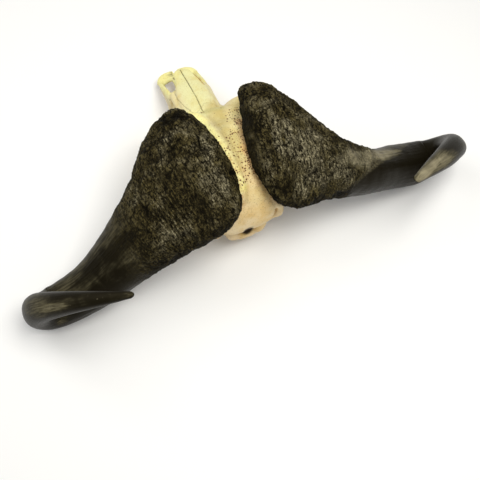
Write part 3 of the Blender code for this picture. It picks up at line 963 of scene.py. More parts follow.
LEFT_PATCHES = (
    Patch(0.080, -0.212, 0.042, 0.024, -20, light=-1.1, pits=1.0),
    Patch(0.104, -0.182, 0.040, 0.024, -30, light=0.35, pits=0.5),
    Patch(0.085, -0.156, 0.020, 0.012, 60, light=-0.7, pits=1.0),
    Patch(0.110, -0.148, 0.034, 0.022, 20, light=0.30),
    Patch(0.112, -0.048, 0.062, 0.034, 100, light=-0.9),
    Patch(0.190, -0.030, 0.060, 0.040, 30, light=-0.4),
    Patch(0.046, -0.036, 0.040, 0.026, 70, light=0.8, streaks=0.4),
    Patch(0.040, -0.108, 0.056, 0.020, 72, light=0.7),
    Patch(0.152, -0.030, 0.060, 0.040, 75, rings=1.0, light=0.2),
    Patch(0.128, 0.000, 0.034, 0.026, 30, light=0.3, rings=0.6),
    Patch(0.200, -0.072, 0.060, 0.022, 32, light=0.3, streaks=0.8),
    Patch(0.160, -0.135, 0.050, 0.020, 60, light=-0.4),
    Patch(0.290, -0.022, 0.090, 0.024, 10, light=-0.7, streaks=1.0),
    Patch(0.330, 0.030, 0.090, 0.022, 8, light=-0.8),
    Patch(0.350, 0.060, 0.100, 0.040, -18, light=-0.8),
    # Painted highlight on the left bend.
    Patch(0.402, 0.050, 0.070, 0.022, -20, light=0.7),
    Patch(0.400, 0.053, 0.032, 0.008, -20, light=1.2),
    Patch(0.090, -0.225, 0.0060, 0.0045, 30, dent=1.0),
    Patch(0.075, -0.216, 0.0080, 0.0050, 60, dent=1.0),
    Patch(0.060, -0.206, 0.0060, 0.0040, -20, dent=0.8),
    Patch(0.113, -0.198, 0.0060, 0.0045, 20, dent=0.9),
    Patch(0.097, -0.185, 0.0055, 0.0040, 70, dent=0.8),
    Patch(0.085, -0.155, 0.0065, 0.0045, 10, dent=1.0),
    Patch(0.099, -0.145, 0.0075, 0.0040, 40, dent=1.0),
    Patch(0.088, -0.133, 0.0060, 0.0045, 80, dent=0.9),
    Patch(0.118, -0.118, 0.0060, 0.0030, 10, dent=0.8),
    Patch(0.056, -0.078, 0.0090, 0.0030, 70, dent=0.7),
    Patch(0.092, -0.038, 0.0100, 0.0035, 50, dent=0.7),
    Patch(0.050, -0.140, 0.0240, 0.0022, 84, dent=1.1),
    Patch(0.006, -0.066, 0.0100, 0.0060, 20, dent=1.4),
)
RIGHT_PATCHES = (
    # Painted shade along the right boss's medial edge, which is also smoother there.
    Patch(-0.046, -0.118, 0.104, 0.020, 78, light=-0.9, rough=-0.45),
    Patch(-0.150, -0.040, 0.110, 0.080, 60, light=0.35),
    Patch(-0.096, -0.104, 0.060, 0.012, 79, light=0.7),
    Patch(-0.078, -0.080, 0.062, 0.005, 79, light=-0.5),
    Patch(-0.118, -0.092, 0.056, 0.010, 80, light=1.3),
    Patch(-0.150, -0.072, 0.044, 0.034, 60, light=0.5),
    Patch(-0.110, -0.208, 0.026, 0.016, 30, light=-0.7, pits=1.0),
    Patch(-0.140, -0.160, 0.030, 0.016, 40, light=0.2, pits=0.8),
    Patch(-0.124, -0.018, 0.040, 0.026, 80, light=0.5),
    Patch(-0.196, 0.000, 0.034, 0.026, 80, rings=1.2, light=0.5),
    Patch(-0.060, 0.004, 0.040, 0.014, 20, light=-0.6),
    Patch(-0.120, 0.006, 0.050, 0.022, 10, light=0.5),
    # Painted sheen on the lit front of the right shaft.
    Patch(-0.255, -0.026, 0.060, 0.026, 0, light=1.3, rough=-0.6, streaks=0.4),
    Patch(-0.335, -0.036, 0.070, 0.018, 0, light=1.3, streaks=1.0),
    Patch(-0.215, -0.068, 0.050, 0.014, 10, light=-0.5),
    # Painted highlight on the right tip.
    Patch(-0.362, 0.056, 0.090, 0.018, 20, light=1.2),
    Patch(-0.340, 0.064, 0.050, 0.008, 27, light=1.6),
    # Painted shade on the right bend.
    Patch(-0.446, -0.020, 0.060, 0.050, 90, light=-1.2),
    Patch(-0.141, -0.011, 0.0070, 0.0030, 30, dent=0.5),
    Patch(-0.133, -0.152, 0.0070, 0.0040, 50, dent=1.0),
    Patch(-0.090, -0.205, 0.0060, 0.0045, 10, dent=1.0),
    Patch(-0.112, -0.212, 0.0060, 0.0045, 70, dent=0.9),
    Patch(-0.098, -0.130, 0.0070, 0.0030, 78, dent=0.8),
    Patch(-0.100, -0.074, 0.0080, 0.0030, 78, dent=0.8),
    Patch(-0.171, -0.078, 0.0052, 0.0018, -40, scuff=1.0),
    Patch(-0.161, -0.028, 0.0026, 0.0020, 20, scuff=0.8),
)


@dataclass
class HornSheath:
    """One horn sheath with its rough boss, its shaft and its tip, lofted through stations."""

    side: Side
    stations: Stations
    patches: tuple[Patch, ...]
    seed: int
    boss_rings: int = 216
    shaft_rings: int = 84
    sides: int = 280
    cap_rings: int = 8
    end_share: float = 0.0075
    squareness: float = 2.3
    lump_height: float = 0.0030
    lump_size: float = 0.026
    bark_height: float = 0.0011
    grain_height: float = 0.0008
    crack_depth: float = 0.0011
    pit_depth: float = 0.0022
    ring_height: float = 0.0007
    ring_spacing: float = 0.0070
    streak_height: float = 0.0007
    dent_depth: float = 0.0026
    swell_height: float = 0.0002
    swell_spacing: float = 0.036
    bark_scale: Triple = (235.0, 85.0, 85.0)
    lengthwise_scale: Triple = (60.0, 260.0, 260.0)
    streak_scale: Triple = (16.0, 330.0, 330.0)
    crack_scale: Triple = (70.0, 40.0, 40.0)
    fine_crack_scale: Triple = (150.0, 95.0, 95.0)
    pit_size: float = 0.0100
    lengthwise_bark: float = 0.5
    rough_until: float = 0.245
    rough_slope: float = -0.10
    rough_blend: float = 0.090
    rough_most: float = 0.330
    # Strength of the painted shade on the smooth shaft behind the slanting edge of the rough part.
    painted_shade_behind: float = 0.0
    step_down: float = 0.0
    boss_share: float = 0.45
    lowest: float = 0.0003
    turn: float = math.radians(1.1)
    shift: float = -0.013

    @property
    def name(self) -> str:
        """Name of the CAD node that the sheath stands for."""
        return f"horn_{self.side.name.lower()}"

    def seat(self, points: np.ndarray) -> np.ndarray:
        """Carries points from the horn's own table to the skull's frame.

        Args:
            points: Points in the horn's table.

        Returns:
            The points in the skull's frame, of the same shape.
        """
        x = points[..., 0] * self.side.value
        y = points[..., 1]
        c, s = math.cos(self.turn), math.sin(self.turn)
        return np.stack([c * x - s * y + self.shift, s * x + c * y, points[..., 2]], axis=-1)

    def loft(self) -> tuple[np.ndarray, dict[str, np.ndarray]]:
        """Rings of the sheath before its relief.

        Returns:
            Rings x sides x 3 points in the horn's table, and the fields that the relief needs, with one
            value for each point.
        """
        boss = np.linspace(0.0, self.boss_share, self.boss_rings, endpoint=False)
        shaft = np.linspace(self.boss_share, 1.0 - self.end_share, self.shaft_rings)
        end = 1.0 - self.end_share * (1.0 - np.sin(np.linspace(0.0, math.pi / 2, 8)[1:]))
        shares = np.concatenate([boss, shaft, end])
        rows = curve_rows(self.stations, shares)
        nearly = np.maximum(0.0, shares - 1.0 + self.end_share) / self.end_share
        rows[:, 3:6] *= np.sqrt(np.maximum(0.01, 1.0 - nearly ** 2))[:, None]
        along = directions(rows[:, :3])
        yaw = np.radians(rows[:, 6])
        forward = np.stack([np.sin(yaw), -np.cos(yaw), np.zeros_like(yaw)], axis=1)
        out = unit(along - forward * np.sum(along * forward, axis=1, keepdims=True))
        up = np.cross(forward, out)
        dense = np.linspace(-math.pi / 2, 1.5 * math.pi, 1441)
        c, s = section(dense, self.squareness)
        weight = 1.0 + 1.4 * ramp(s[1:], -0.25, 0.25)
        rings, fore, rise = [], [], []
        for row, ahead, above in zip(rows, forward, up):
            line = np.stack([c * row[3], s * np.where(s > 0, row[4], row[5])], axis=1)
            steps = np.linalg.norm(np.diff(line, axis=0), axis=1) * weight
            spread = np.concatenate([[0.0], np.cumsum(steps)])
            even = np.arange(self.sides) / self.sides * spread[-1]
            a = np.interp(even, spread, line[:, 0])
            b = np.interp(even, spread, line[:, 1])
            rings.append(row[:3] + ahead * a[:, None] + above * b[:, None])
            fore.append(a)
            rise.append(b)
        reach = np.concatenate([[0.0], np.cumsum(np.linalg.norm(np.diff(rows[:, :3], axis=0), axis=1))])
        shape = (len(shares), self.sides)
        fields = {
            "share": np.broadcast_to(shares[:, None], shape),
            "along": np.broadcast_to(reach[:, None], shape),
            "fore": np.array(fore),
            "rise": np.array(rise),
            "facing": self.outward(np.array(rings))[..., 2],
        }
        return np.array(rings), fields

    def rough_share(self, points: np.ndarray, fields: dict[str, np.ndarray]) -> np.ndarray:
        """How rough the sheath is at each point.

        Args:
            points: Points in the horn's table.
            fields: Fields from the loft.

        Returns:
            Values from 1 on the boss to 0 on the underside and on the shaft, beyond its slanting edge.
        """
        edge = np.minimum(self.rough_until + self.rough_slope * points[..., 1], self.rough_most)
        fringe = 0.012 * fractal(points.reshape(-1, 3) / 0.02, 3, self.seed + 3).reshape(edge.shape)
        across = points[..., 0] + fringe - edge
        rough = ramp(across, self.rough_blend / 2, -self.rough_blend / 2)
        return rough * ramp(fields["facing"], -0.9, -0.3)

    def patch_changes(
        self, seated: np.ndarray, wobble: np.ndarray, upper: np.ndarray
    ) -> dict[str, np.ndarray]:
        """What the patches add to the bark.

        Args:
            seated: Points in the skull's frame.
            wobble: How far each point is moved, so that the edges of the patches wander.
            upper: Share of the patches that shows at each point, 0 on the underside.

        Returns:
            The changes by name, with one value for each point.
        """
        names = ("light", "rough", "rings", "streaks", "pits", "dent", "scuff")
        changes = {name: np.zeros(len(seated)) for name in names}
        for patch in self.patches:
            wanders = patch.long > 0.012 and abs(patch.x) < 0.34
            share = patch.share(seated + (1.0 if wanders else 0.3) * wobble) * upper
            for name in names:
                changes[name] += getattr(patch, name) * share
        return changes

    def relief(
        self, points: np.ndarray, fields: dict[str, np.ndarray]
    ) -> tuple[np.ndarray, dict[str, np.ndarray]]:
        """Heights of the bark over the lofted sheath.

        Args:
            points: Points in the horn's table.
            fields: Fields from the loft.

        Returns:
            The heights, and the values of the sheath's attributes, of the same shape.
        """
        shape = points.shape[:2]
        flat = points.reshape(-1, 3)
        wobble = 0.005 * drift(flat, 0.012, 3, (self.seed + 71, self.seed + 72, self.seed + 73))
        share, along, fore, rise, facing = (
            fields[key].ravel() for key in ("share", "along", "fore", "rise", "facing")
        )
        changes = self.patch_changes(self.seat(flat), wobble, ramp(facing, -0.05, 0.35))
        rough = self.rough_share(points, fields).ravel()
        coarse = np.clip(rough * (1.0 + changes["rough"]), 0.0, 1.0)
        lumps = np.array([noise.fractal(Vector(p) / self.lump_size, 0.9, 2.1, 3) for p in flat])
        sheath = np.stack([along, fore, rise], axis=1)
        warped = sheath + 0.004 * drift(flat, 0.014, 1, (self.seed + 81, self.seed + 82, self.seed + 83))
        bark = np.abs(fractal(warped * np.array(self.bark_scale), 3, self.seed + 23)) * 2.4
        length = np.abs(fractal(warped * np.array(self.lengthwise_scale), 3, self.seed + 27)) * 2.4
        bark = bark + (length - bark) * self.lengthwise_bark * ramp(
            fractal(flat / 0.05, 2, self.seed + 29), -0.2, 0.3
        )
        grain = np.abs(fractal(flat / 0.0048, 3, self.seed + 31)) * 2.4
        near, second = cells(warped * np.array(self.crack_scale), self.seed + 33)
        patchy = ramp(fractal(flat / 0.030, 2, self.seed + 41), -0.25, 0.20)
        crack = ramp(second - near, 0.13, 0.02) * patchy
        near, second = cells(warped * np.array(self.fine_crack_scale), self.seed + 37)
        fine = ramp(fractal(flat / 0.022, 2, self.seed + 45), -0.15, 0.25)
        crack = np.maximum(crack, 0.7 * ramp(second - near, 0.16, 0.03) * fine)
        spot, _ = cells((flat + 0.5 * wobble) / self.pit_size, self.seed + 43)
        pits = ramp(spot, 0.34, 0.16) * np.clip(0.35 * ramp(patchy, 0.5, 1.0) + changes["pits"], 0.0, 1.0)
        bend = 5.0 * lattice(flat / 0.016, self.seed + 51)
        ring = np.sin(along * 2 * math.pi / self.ring_spacing + bend)
        streak = np.abs(fractal(sheath * np.array(self.streak_scale), 2, self.seed + 61)) * 2.0
        swell = np.sin(along * 2 * math.pi / self.swell_spacing + 2.0 * lumps)
        heights = coarse * (
            self.bark_height * (bark - 0.4) + self.grain_height * (grain - 0.4)
            - self.crack_depth * crack - self.pit_depth * pits
        )
        heights += rough * self.lump_height * lumps
        heights += rough * self.ring_height * ring * changes["rings"]
        heights -= self.dent_depth * changes["dent"]
        streaked = 0.35 * (ramp(share, 0.26, 0.40) * ramp(share, 0.86, 0.62))
        heights += self.streak_height * (streak - 0.4) * np.clip(streaked + changes["streaks"], 0.0, 1.0)
        heights += (1.0 - rough) * (self.swell_height * swell * ramp(share, 0.80, 0.5) - self.step_down)
        heights *= ramp(share, 0.99, 0.93)
        tops = np.clip(0.55 * (bark + grain) - 0.5 * crack, 0.0, 1.4)
        beyond = flat[:, 0] - self.rough_until - self.rough_slope * flat[:, 1]
        # Painted light and shade: lumps lighter on top and darker in their hollows, upper faces lighter and
        # sides darker, added to what the patches bring.
        light = changes["light"] + 0.7 * rough * lumps + 1.1 * (ramp(facing, -0.1, 0.8) - 0.75)
        # Painted shade on the smooth shaft behind the slanting edge of the rough part.
        light -= self.painted_shade_behind * ramp(beyond, 0.0, 0.03) * ramp(share, 0.68, 0.58)
        # Painted shade in the cracks, pits and dents of the rough part.
        crevice_shade = np.clip(coarse * (0.8 * crack + pits) + changes["dent"], 0.0, 1.0)
        values = {
            "rough": coarse,
            "tops": tops,
            "crevice_shade": crevice_shade,
            "light": np.clip(light, -1.8, 1.8),
            "rings": np.clip(changes["rings"], 0.0, 1.0),
            "scuff": np.clip(changes["scuff"], 0.0, 1.0),
            "sheath": sheath,
        }
        return heights.reshape(shape), {
            key: value.reshape(*shape, *value.shape[1:]) for key, value in values.items()
        }

    def outward(self, rings: np.ndarray) -> np.ndarray:
        """Outward directions of the lofted surface.

        Args:
            rings: Rings x sides x 3 points.

        Returns:
            Rows of length 1, of the same shape.
        """
        around = np.roll(rings, -1, axis=1) - np.roll(rings, 1, axis=1)
        along = np.concatenate([rings[1:], rings[-1:]]) - np.concatenate([rings[:1], rings[:-1]])
        made = unit(np.cross(along, around))
        flip = np.sign(np.sum(made * (rings - rings.mean(axis=1, keepdims=True)), axis=-1, keepdims=True))
        return made * np.where(flip == 0, 1, flip)

    def build(self, finish: bpy.types.Material) -> bpy.types.Object:
        """Builds the sheath as one closed mesh with its attributes and flakes.

        Args:
            finish: Material of the sheath.

        Returns:
            The piece.
        """
        rings, fields = self.loft()
        heights, values = self.relief(rings, fields)
        raised = self.seat(rings + self.outward(rings) * heights[..., None]) + SKULL_OFFSET
        raised[..., 2] = np.maximum(raised[..., 2], self.lowest)
        heart = raised[0].mean(axis=0)
        steps = (np.arange(self.cap_rings) + 1) / (self.cap_rings + 1)
        cap = heart + (raised[0] - heart) * steps[:, None, None]
        points: list = []
        faces: list = []
        add_tube(points, faces, np.concatenate([cap, raised]))
        piece = solid(f"{self.name}_sheath", points, faces)
        mesh = piece.data
        for key, value in values.items():
            whole = np.concatenate([np.repeat(value[:1], self.cap_rings, axis=0), value])
            whole = whole.reshape(-1, *whole.shape[2:])
            ends = np.stack([value[0].mean(axis=0), value[-1].mean(axis=0)])
            store(mesh, key, np.concatenate([whole, ends]))
        mesh.materials.append(finish)
        mesh.shade_smooth()
        grow_nodes(piece, "flakes", *KeratinFlakes(self.seed).tree(finish))
        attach(piece, "root")
        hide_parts(self.name)
        return piece


@dataclass
class KeratinFlakes:
    """Small flakes of keratin that lift off the rough part of a sheath, scattered by Geometry Nodes."""

    seed: int
    per_square_metre: float = 14000.0
    length: float = 0.0040
    spacing: float = 0.0030
    smallest: Triple = (0.16, 0.30, 0.08)
    largest: Triple = (0.30, 0.85, 0.18)
    lean: Triple = (0.15, 1.0, 0.0)

    def tree(self, finish: bpy.types.Material) -> tuple[bpy.types.NodeTree, dict[str, object]]:
        """The node tree of the flakes.

        Args:
            finish: Material of the flakes.

        Returns:
            The tree, and its values by the identifiers of its inputs.
        """
        wiring, values = geometry_tree("keratin flakes", (
            ("Flakes per square metre", "NodeSocketFloat", self.per_square_metre),
            ("Flake length", "NodeSocketFloat", self.length),
            ("Flake spacing", "NodeSocketFloat", self.spacing),
            ("Seed", "NodeSocketInt", self.seed),
            ("Material", "NodeSocketMaterial", finish),
        ))
        source = wiring.node("NodeGroupInput").outputs
        rough = wiring.named("rough")
        place = wiring.node("GeometryNodeInputPosition").outputs[0]
        thin = wiring.span(wiring.noise(place, 40.0, 2.0), 0.46, 0.60)
        inputs = {
            "Mesh": source["Geometry"],
            "Distance Min": source["Flake spacing"],
            "Density Max": source["Flakes per square metre"],
            "Density Factor": wiring.times(wiring.span(rough, 0.6, 1.0), thin),
            "Seed": source["Seed"],
        }
        scatter = wiring.node("GeometryNodeDistributePointsOnFaces", inputs, distribute_method="POISSON")
        flake = wiring.node("GeometryNodeMeshIcoSphere", {"Radius": 1.0, "Subdivisions": 1}).outputs["Mesh"]
        inputs = {"Min": self.smallest, "Max": self.largest, "Seed": source["Seed"]}
        size = wiring.node("FunctionNodeRandomValue", inputs, data_type="FLOAT_VECTOR").outputs["Value"]
        scale = wiring.scaled(size, source["Flake length"])
        inputs = {"Rotation": scatter.outputs["Rotation"], "Vector": self.lean}
        lay = wiring.node("FunctionNodeAlignRotationToVector", inputs, axis="Y", pivot_axis="Z").outputs[0]
        inputs = {"Points": scatter.outputs["Points"], "Instance": flake, "Rotation": lay, "Scale": scale}
        copies = wiring.node("GeometryNodeInstanceOnPoints", inputs).outputs[0]
        loose = wiring.node("GeometryNodeRealizeInstances", {"Geometry": copies}).outputs[0]
        smooth = wiring.node("GeometryNodeSetShadeSmooth", {"Geometry": loose}).outputs[0]
        joined = wiring.node("GeometryNodeJoinGeometry")
        wiring.tree.links.new(smooth, joined.inputs[0])
        wiring.tree.links.new(source["Geometry"], joined.inputs[0])
        wiring.give_out(joined.outputs[0], source["Material"])
        return wiring.tree, values


# Bone

ACROSS_X = np.array([1.0, 0.0, 0.0])
ACROSS_Y = np.array([0.0, 1.0, 0.0])
Bar = tuple[np.ndarray, float, Stations]
MIDLINE_BONES: dict[str, Bar] = {
    "face": (ACROSS_X, 2.7, (
        (0, -0.175, 0.108, 0.070, 0.060, 0.056), (0, -0.235, 0.094, 0.080, 0.054, 0.056),
        (0, -0.262, 0.088, 0.070, 0.054, 0.052), (0, -0.288, 0.081, 0.057, 0.047, 0.050),
        (0, -0.312, 0.076, 0.053, 0.042, 0.047), (0, -0.340, 0.072, 0.049, 0.037, 0.044),
        (0, -0.358, 0.069, 0.048, 0.035, 0.041), (0, -0.371, 0.066, 0.046, 0.032, 0.038),
    )),
    "nasals": (ACROSS_X, 2.4, (
        (0, -0.212, 0.138, 0.022, 0.006, 0.010), (0, -0.240, 0.145, 0.030, 0.010, 0.014),
        (0, -0.265, 0.142, 0.034, 0.012, 0.014), (0, -0.305, 0.131, 0.038, 0.012, 0.014),
        (-0.002, -0.350, 0.117, 0.035, 0.011, 0.008), (-0.003, -0.376, 0.108, 0.029, 0.010, 0.005),
        (-0.002, -0.396, 0.103, 0.023, 0.008, 0.004), (0, -0.411, 0.100, 0.020, 0.006, 0.004),
        (0, -0.421, 0.098, 0.010, 0.004, 0.003),
    )),
    "frontal": (ACROSS_X, 2.5, (
        (0, -0.272, 0.122, 0.042, 0.014, 0.040), (0, -0.255, 0.132, 0.064, 0.018, 0.042),
        (0, -0.244, 0.141, 0.100, 0.024, 0.044), (0, -0.210, 0.142, 0.101, 0.036, 0.040),
        (0, -0.165, 0.152, 0.102, 0.052, 0.042), (0, -0.110, 0.160, 0.102, 0.056, 0.050),
        (0, -0.070, 0.158, 0.098, 0.052, 0.050), (0, -0.042, 0.152, 0.090, 0.046, 0.050),
        (0, -0.022, 0.144, 0.080, 0.038, 0.050), (0, -0.012, 0.138, 0.070, 0.026, 0.046),
    )),
    "braincase": (ACROSS_X, 2.4, (
        (0, -0.180, 0.112, 0.050, 0.050, 0.040), (0, -0.120, 0.110, 0.064, 0.060, 0.048),
        (0, -0.060, 0.108, 0.078, 0.060, 0.048), (0, -0.030, 0.108, 0.088, 0.060, 0.042),
        (0, -0.015, 0.110, 0.080, 0.054, 0.036),
    )),
    "skull base": (ACROSS_X, 2.4, (
        (0, 0.003, 0.055, 0.020, 0.010, 0.009), (0, -0.016, 0.055, 0.023, 0.010, 0.010),
        (0, -0.050, 0.050, 0.027, 0.016, 0.012), (0, -0.100, 0.053, 0.020, 0.020, 0.012),
        (0, -0.160, 0.068, 0.014, 0.024, 0.012),
    )),
    "palate": (ACROSS_X, 3.2, (
        (0, -0.192, 0.037, 0.048, 0.010, 0.006), (0, -0.280, 0.033, 0.056, 0.012, 0.006),
        (0, -0.345, 0.031, 0.050, 0.012, 0.006), (0, -0.378, 0.030, 0.042, 0.008, 0.005),
    )),
    "nuchal crest": (ACROSS_Y, 2.0, (
        (-0.070, -0.014, 0.086, 0.008, 0.010, 0.010), (-0.074, -0.007, 0.112, 0.009, 0.009, 0.009),
        (-0.071, -0.009, 0.146, 0.008, 0.008, 0.008), (-0.040, -0.016, 0.170, 0.008, 0.008, 0.008),
        (0.000, -0.018, 0.178, 0.009, 0.008, 0.008), (0.040, -0.016, 0.170, 0.008, 0.008, 0.008),
        (0.071, -0.009, 0.146, 0.008, 0.008, 0.008), (0.079, -0.007, 0.112, 0.009, 0.009, 0.009),
        (0.074, -0.014, 0.086, 0.008, 0.010, 0.010),
    )),
    "lip over the brain stem": (ACROSS_Y, 2.0, (
        (-0.026, -0.016, 0.097, 0.008, 0.007, 0.007), (0.000, -0.014, 0.103, 0.011, 0.007, 0.007),
        (0.026, -0.016, 0.097, 0.008, 0.007, 0.007),
    )),
    "slope of the back": (ACROSS_X, 2.6, (
        (0, -0.030, 0.172, 0.058, 0.008, 0.012), (0, -0.010, 0.160, 0.062, 0.012, 0.014),
        (0, 0.000, 0.132, 0.058, 0.012, 0.014), (0, 0.002, 0.112, 0.044, 0.010, 0.012),
    )),
    "nuchal ridge": (ACROSS_X, 2.0, (
        (0, -0.018, 0.178, 0.014, 0.009, 0.009), (0, -0.010, 0.150, 0.008, 0.008, 0.008),
        (0, -0.008, 0.112, 0.006, 0.006, 0.006),
    )),
}
PAIRED_BONES: dict[str, Bar] = {
    "orbit": (ACROSS_Y, 2.2, (
        (0.045, -0.213, 0.112, 0.048, 0.044, 0.042), (0.088, -0.234, 0.117, 0.056, 0.043, 0.041),
        (0.105, -0.228, 0.118, 0.040, 0.040, 0.039), (0.122, -0.229, 0.118, 0.037, 0.035, 0.036),
    )),
    "flank of the nasals": (ACROSS_X, 2.2, (
        (0.032, -0.262, 0.132, 0.012, 0.008, 0.014), (0.034, -0.288, 0.125, 0.012, 0.009, 0.014),
        (0.034, -0.318, 0.116, 0.012, 0.009, 0.014), (0.035, -0.348, 0.106, 0.012, 0.008, 0.012),
        (0.033, -0.366, 0.099, 0.008, 0.006, 0.008),
    )),
    "horn pedicle": (ACROSS_Y, 2.3, (
        (0.060, -0.105, 0.160, 0.088, 0.030, 0.030), (0.100, -0.098, 0.158, 0.076, 0.026, 0.036),
        (0.126, -0.090, 0.152, 0.054, 0.018, 0.030), (0.140, -0.084, 0.148, 0.024, 0.010, 0.014),
    )),
    "cheek arch": (ACROSS_X, 2.2, (
        (0.070, -0.085, 0.092, 0.022, 0.016, 0.018), (0.104, -0.092, 0.092, 0.012, 0.013, 0.013),
        (0.122, -0.122, 0.092, 0.008, 0.013, 0.013), (0.121, -0.160, 0.086, 0.008, 0.014, 0.014),
        (0.112, -0.200, 0.078, 0.010, 0.017, 0.017), (0.092, -0.240, 0.072, 0.014, 0.021, 0.019),
        (0.066, -0.282, 0.064, 0.014, 0.020, 0.016),
    )),
    "bar behind the eye": (ACROSS_Y, 2.0, (
        (0.100, -0.176, 0.150, 0.013, 0.010, 0.010), (0.118, -0.178, 0.125, 0.011, 0.008, 0.008),
        (0.118, -0.180, 0.095, 0.012, 0.008, 0.008),
    )),
    "tooth bearer": (ACROSS_X, 2.8, (
        (0.041, -0.374, 0.042, 0.010, 0.014, 0.018), (0.042, -0.345, 0.044, 0.012, 0.020, 0.026),
        (0.046, -0.315, 0.044, 0.014, 0.024, 0.027), (0.052, -0.280, 0.044, 0.017, 0.030, 0.027),
        (0.053, -0.240, 0.044, 0.018, 0.030, 0.027), (0.051, -0.205, 0.044, 0.016, 0.024, 0.025),
        (0.046, -0.180, 0.050, 0.012, 0.016, 0.018),
    )),
    "cheek lump": (ACROSS_X, 2.0, (
        (0.066, -0.268, 0.060, 0.010, 0.010, 0.010), (0.064, -0.284, 0.058, 0.012, 0.012, 0.012),
        (0.053, -0.304, 0.056, 0.008, 0.008, 0.008),
    )),
    "premaxilla": (ACROSS_X, 2.3, (
        (0.043, -0.345, 0.074, 0.008, 0.026, 0.046), (0.043, -0.375, 0.065, 0.008, 0.023, 0.039),
        (0.044, -0.400, 0.053, 0.007, 0.018, 0.028), (0.045, -0.428, 0.040, 0.006, 0.010, 0.015),
        (0.044, -0.450, 0.030, 0.006, 0.006, 0.006),
    )),
    "premaxilla front": (ACROSS_Y, 2.4, (
        (0.046, -0.442, 0.030, 0.009, 0.006, 0.005), (0.037, -0.452, 0.030, 0.013, 0.007, 0.006),
        (0.027, -0.458, 0.029, 0.014, 0.007, 0.006), (0.016, -0.460, 0.028, 0.014, 0.007, 0.005),
        (0.004, -0.462, 0.028, 0.013, 0.006, 0.005),
    )),
    "palate bar": (ACROSS_X, 2.2, (
        (0.009, -0.462, 0.027, 0.006, 0.004, 0.004), (0.009, -0.420, 0.029, 0.006, 0.005, 0.004),
        (0.012, -0.368, 0.031, 0.011, 0.006, 0.005),
    )),
    "wing of the palate": (ACROSS_X, 2.4, (
        (0.030, -0.200, 0.056, 0.006, 0.020, 0.022), (0.029, -0.160, 0.066, 0.004, 0.022, 0.026),
        (0.026, -0.128, 0.070, 0.004, 0.018, 0.022),
    )),
    "ear capsule": (ACROSS_X, 2.0, (
        (0.044, -0.050, 0.052, 0.007, 0.010, 0.009), (0.046, -0.070, 0.048, 0.012, 0.014, 0.016),
        (0.046, -0.092, 0.052, 0.006, 0.008, 0.008),
    )),
    "ear tube": (ACROSS_Y, 2.0, (
        (0.050, -0.062, 0.072, 0.012, 0.012, 0.012), (0.084, -0.056, 0.086, 0.011, 0.011, 0.011),
    )),
    "throat process": (ACROSS_X, 2.0, (
        (0.064, -0.018, 0.096, 0.015, 0.014, 0.014), (0.060, -0.022, 0.060, 0.012, 0.008, 0.008),
        (0.056, -0.028, 0.034, 0.008, 0.006, 0.006), (0.053, -0.032, 0.022, 0.004, 0.004, 0.004),
    )),
    "condyle": (ACROSS_X, 2.0, (
        (0.014, -0.016, 0.056, 0.012, 0.010, 0.010), (0.025, -0.007, 0.066, 0.014, 0.012, 0.012),
        (0.032, -0.006, 0.082, 0.014, 0.012, 0.012), (0.032, -0.014, 0.099, 0.013, 0.012, 0.012),
    )),
}
OPENINGS: dict[str, Bar] = {
    "nose": (ACROSS_X, 2.3, (
        (0, -0.440, 0.064, 0.040, 0.026, 0.026), (0, -0.385, 0.068, 0.041, 0.028, 0.028),
        (0, -0.340, 0.075, 0.040, 0.034, 0.032), (0, -0.280, 0.082, 0.036, 0.032, 0.034),
    )),
    "brain stem": (ACROSS_X, 2.0, (
        (0, 0.040, 0.080, 0.011, 0.012, 0.011), (0, -0.010, 0.082, 0.011, 0.012, 0.012),
        (0, -0.060, 0.090, 0.020, 0.018, 0.016),
    )),
    "brain stem mouth": (ACROSS_X, 2.0, (
        (0.003, 0.016, 0.122, 0.009, 0.009, 0.009), (-0.001, 0.003, 0.092, 0.0110, 0.010, 0.010),
        (-0.002, -0.010, 0.072, 0.0115, 0.010, 0.010),
    )),
    "throat": (ACROSS_X, 2.2, (
        (0, -0.110, 0.046, 0.020, 0.012, 0.030), (0, -0.150, 0.060, 0.022, 0.016, 0.032),
        (0, -0.200, 0.062, 0.022, 0.016, 0.016), (0, -0.240, 0.064, 0.016, 0.014, 0.014),
    )),
}
PAIRED_OPENINGS: dict[str, Bar] = {
    "eye socket": (ACROSS_Y, 2.0, (
        (0.150, -0.234, 0.118, 0.038, 0.035, 0.035), (0.112, -0.229, 0.118, 0.034, 0.032, 0.032),
        (0.080, -0.222, 0.115, 0.028, 0.026, 0.026), (0.056, -0.214, 0.112, 0.012, 0.012, 0.012),
    )),
    "nerve hole": (ACROSS_Y, 2.0, (
        (0.080, -0.352, 0.056, 0.007, 0.006, 0.006), (0.060, -0.346, 0.060, 0.007, 0.006, 0.006),
        (0.044, -0.330, 0.066, 0.006, 0.005, 0.005),
    )),
}


@dataclass(frozen=True)
class Line:
    """A groove or a ridge drawn on the bone; a depth below 0 is a ridge, and dark goes from 0 to 1: dark
    seams, and painted shade in creases, steps, holes and notches.
    """

    seen: Seen
    path: tuple[tuple[float, float], ...]
    width: float
    depth: float = 0.0
    dark: float = 0.0
    wander: float = 0.0

    def share(self, points: np.ndarray, normals: np.ndarray) -> np.ndarray:
        """How close each point lies to the line, from 0 to 1 in its middle.

        Args:
            points: Points in the skull's frame.
            normals: Outward directions at the points.

        Returns:
            One value for each point.
        """
        axis, facing = self.seen.value
        flat = points[:, [i for i in range(3) if i != axis]]
        if self.wander:
            flat = flat + self.wander * drift(points, 0.0032, 1, (7, 8))
        path = np.array(self.path, dtype=float)
        best = np.full(len(points), FAR)
        for start, end in zip(path, path[1:]):
            step = end - start
            t = np.clip(((flat - start) @ step) / (step @ step), 0.0, 1.0)
            best = np.minimum(best, np.linalg.norm(flat - start - t[:, None] * step, axis=1))
        return ramp(best, self.width, self.width * 0.25) * ramp(normals[:, axis] * facing, 0.02, 0.25)


@dataclass(frozen=True)
class Wash:
    """A band of colour on the bone."""

    line: Line
    colour: Colour
    strength: float = 1.0


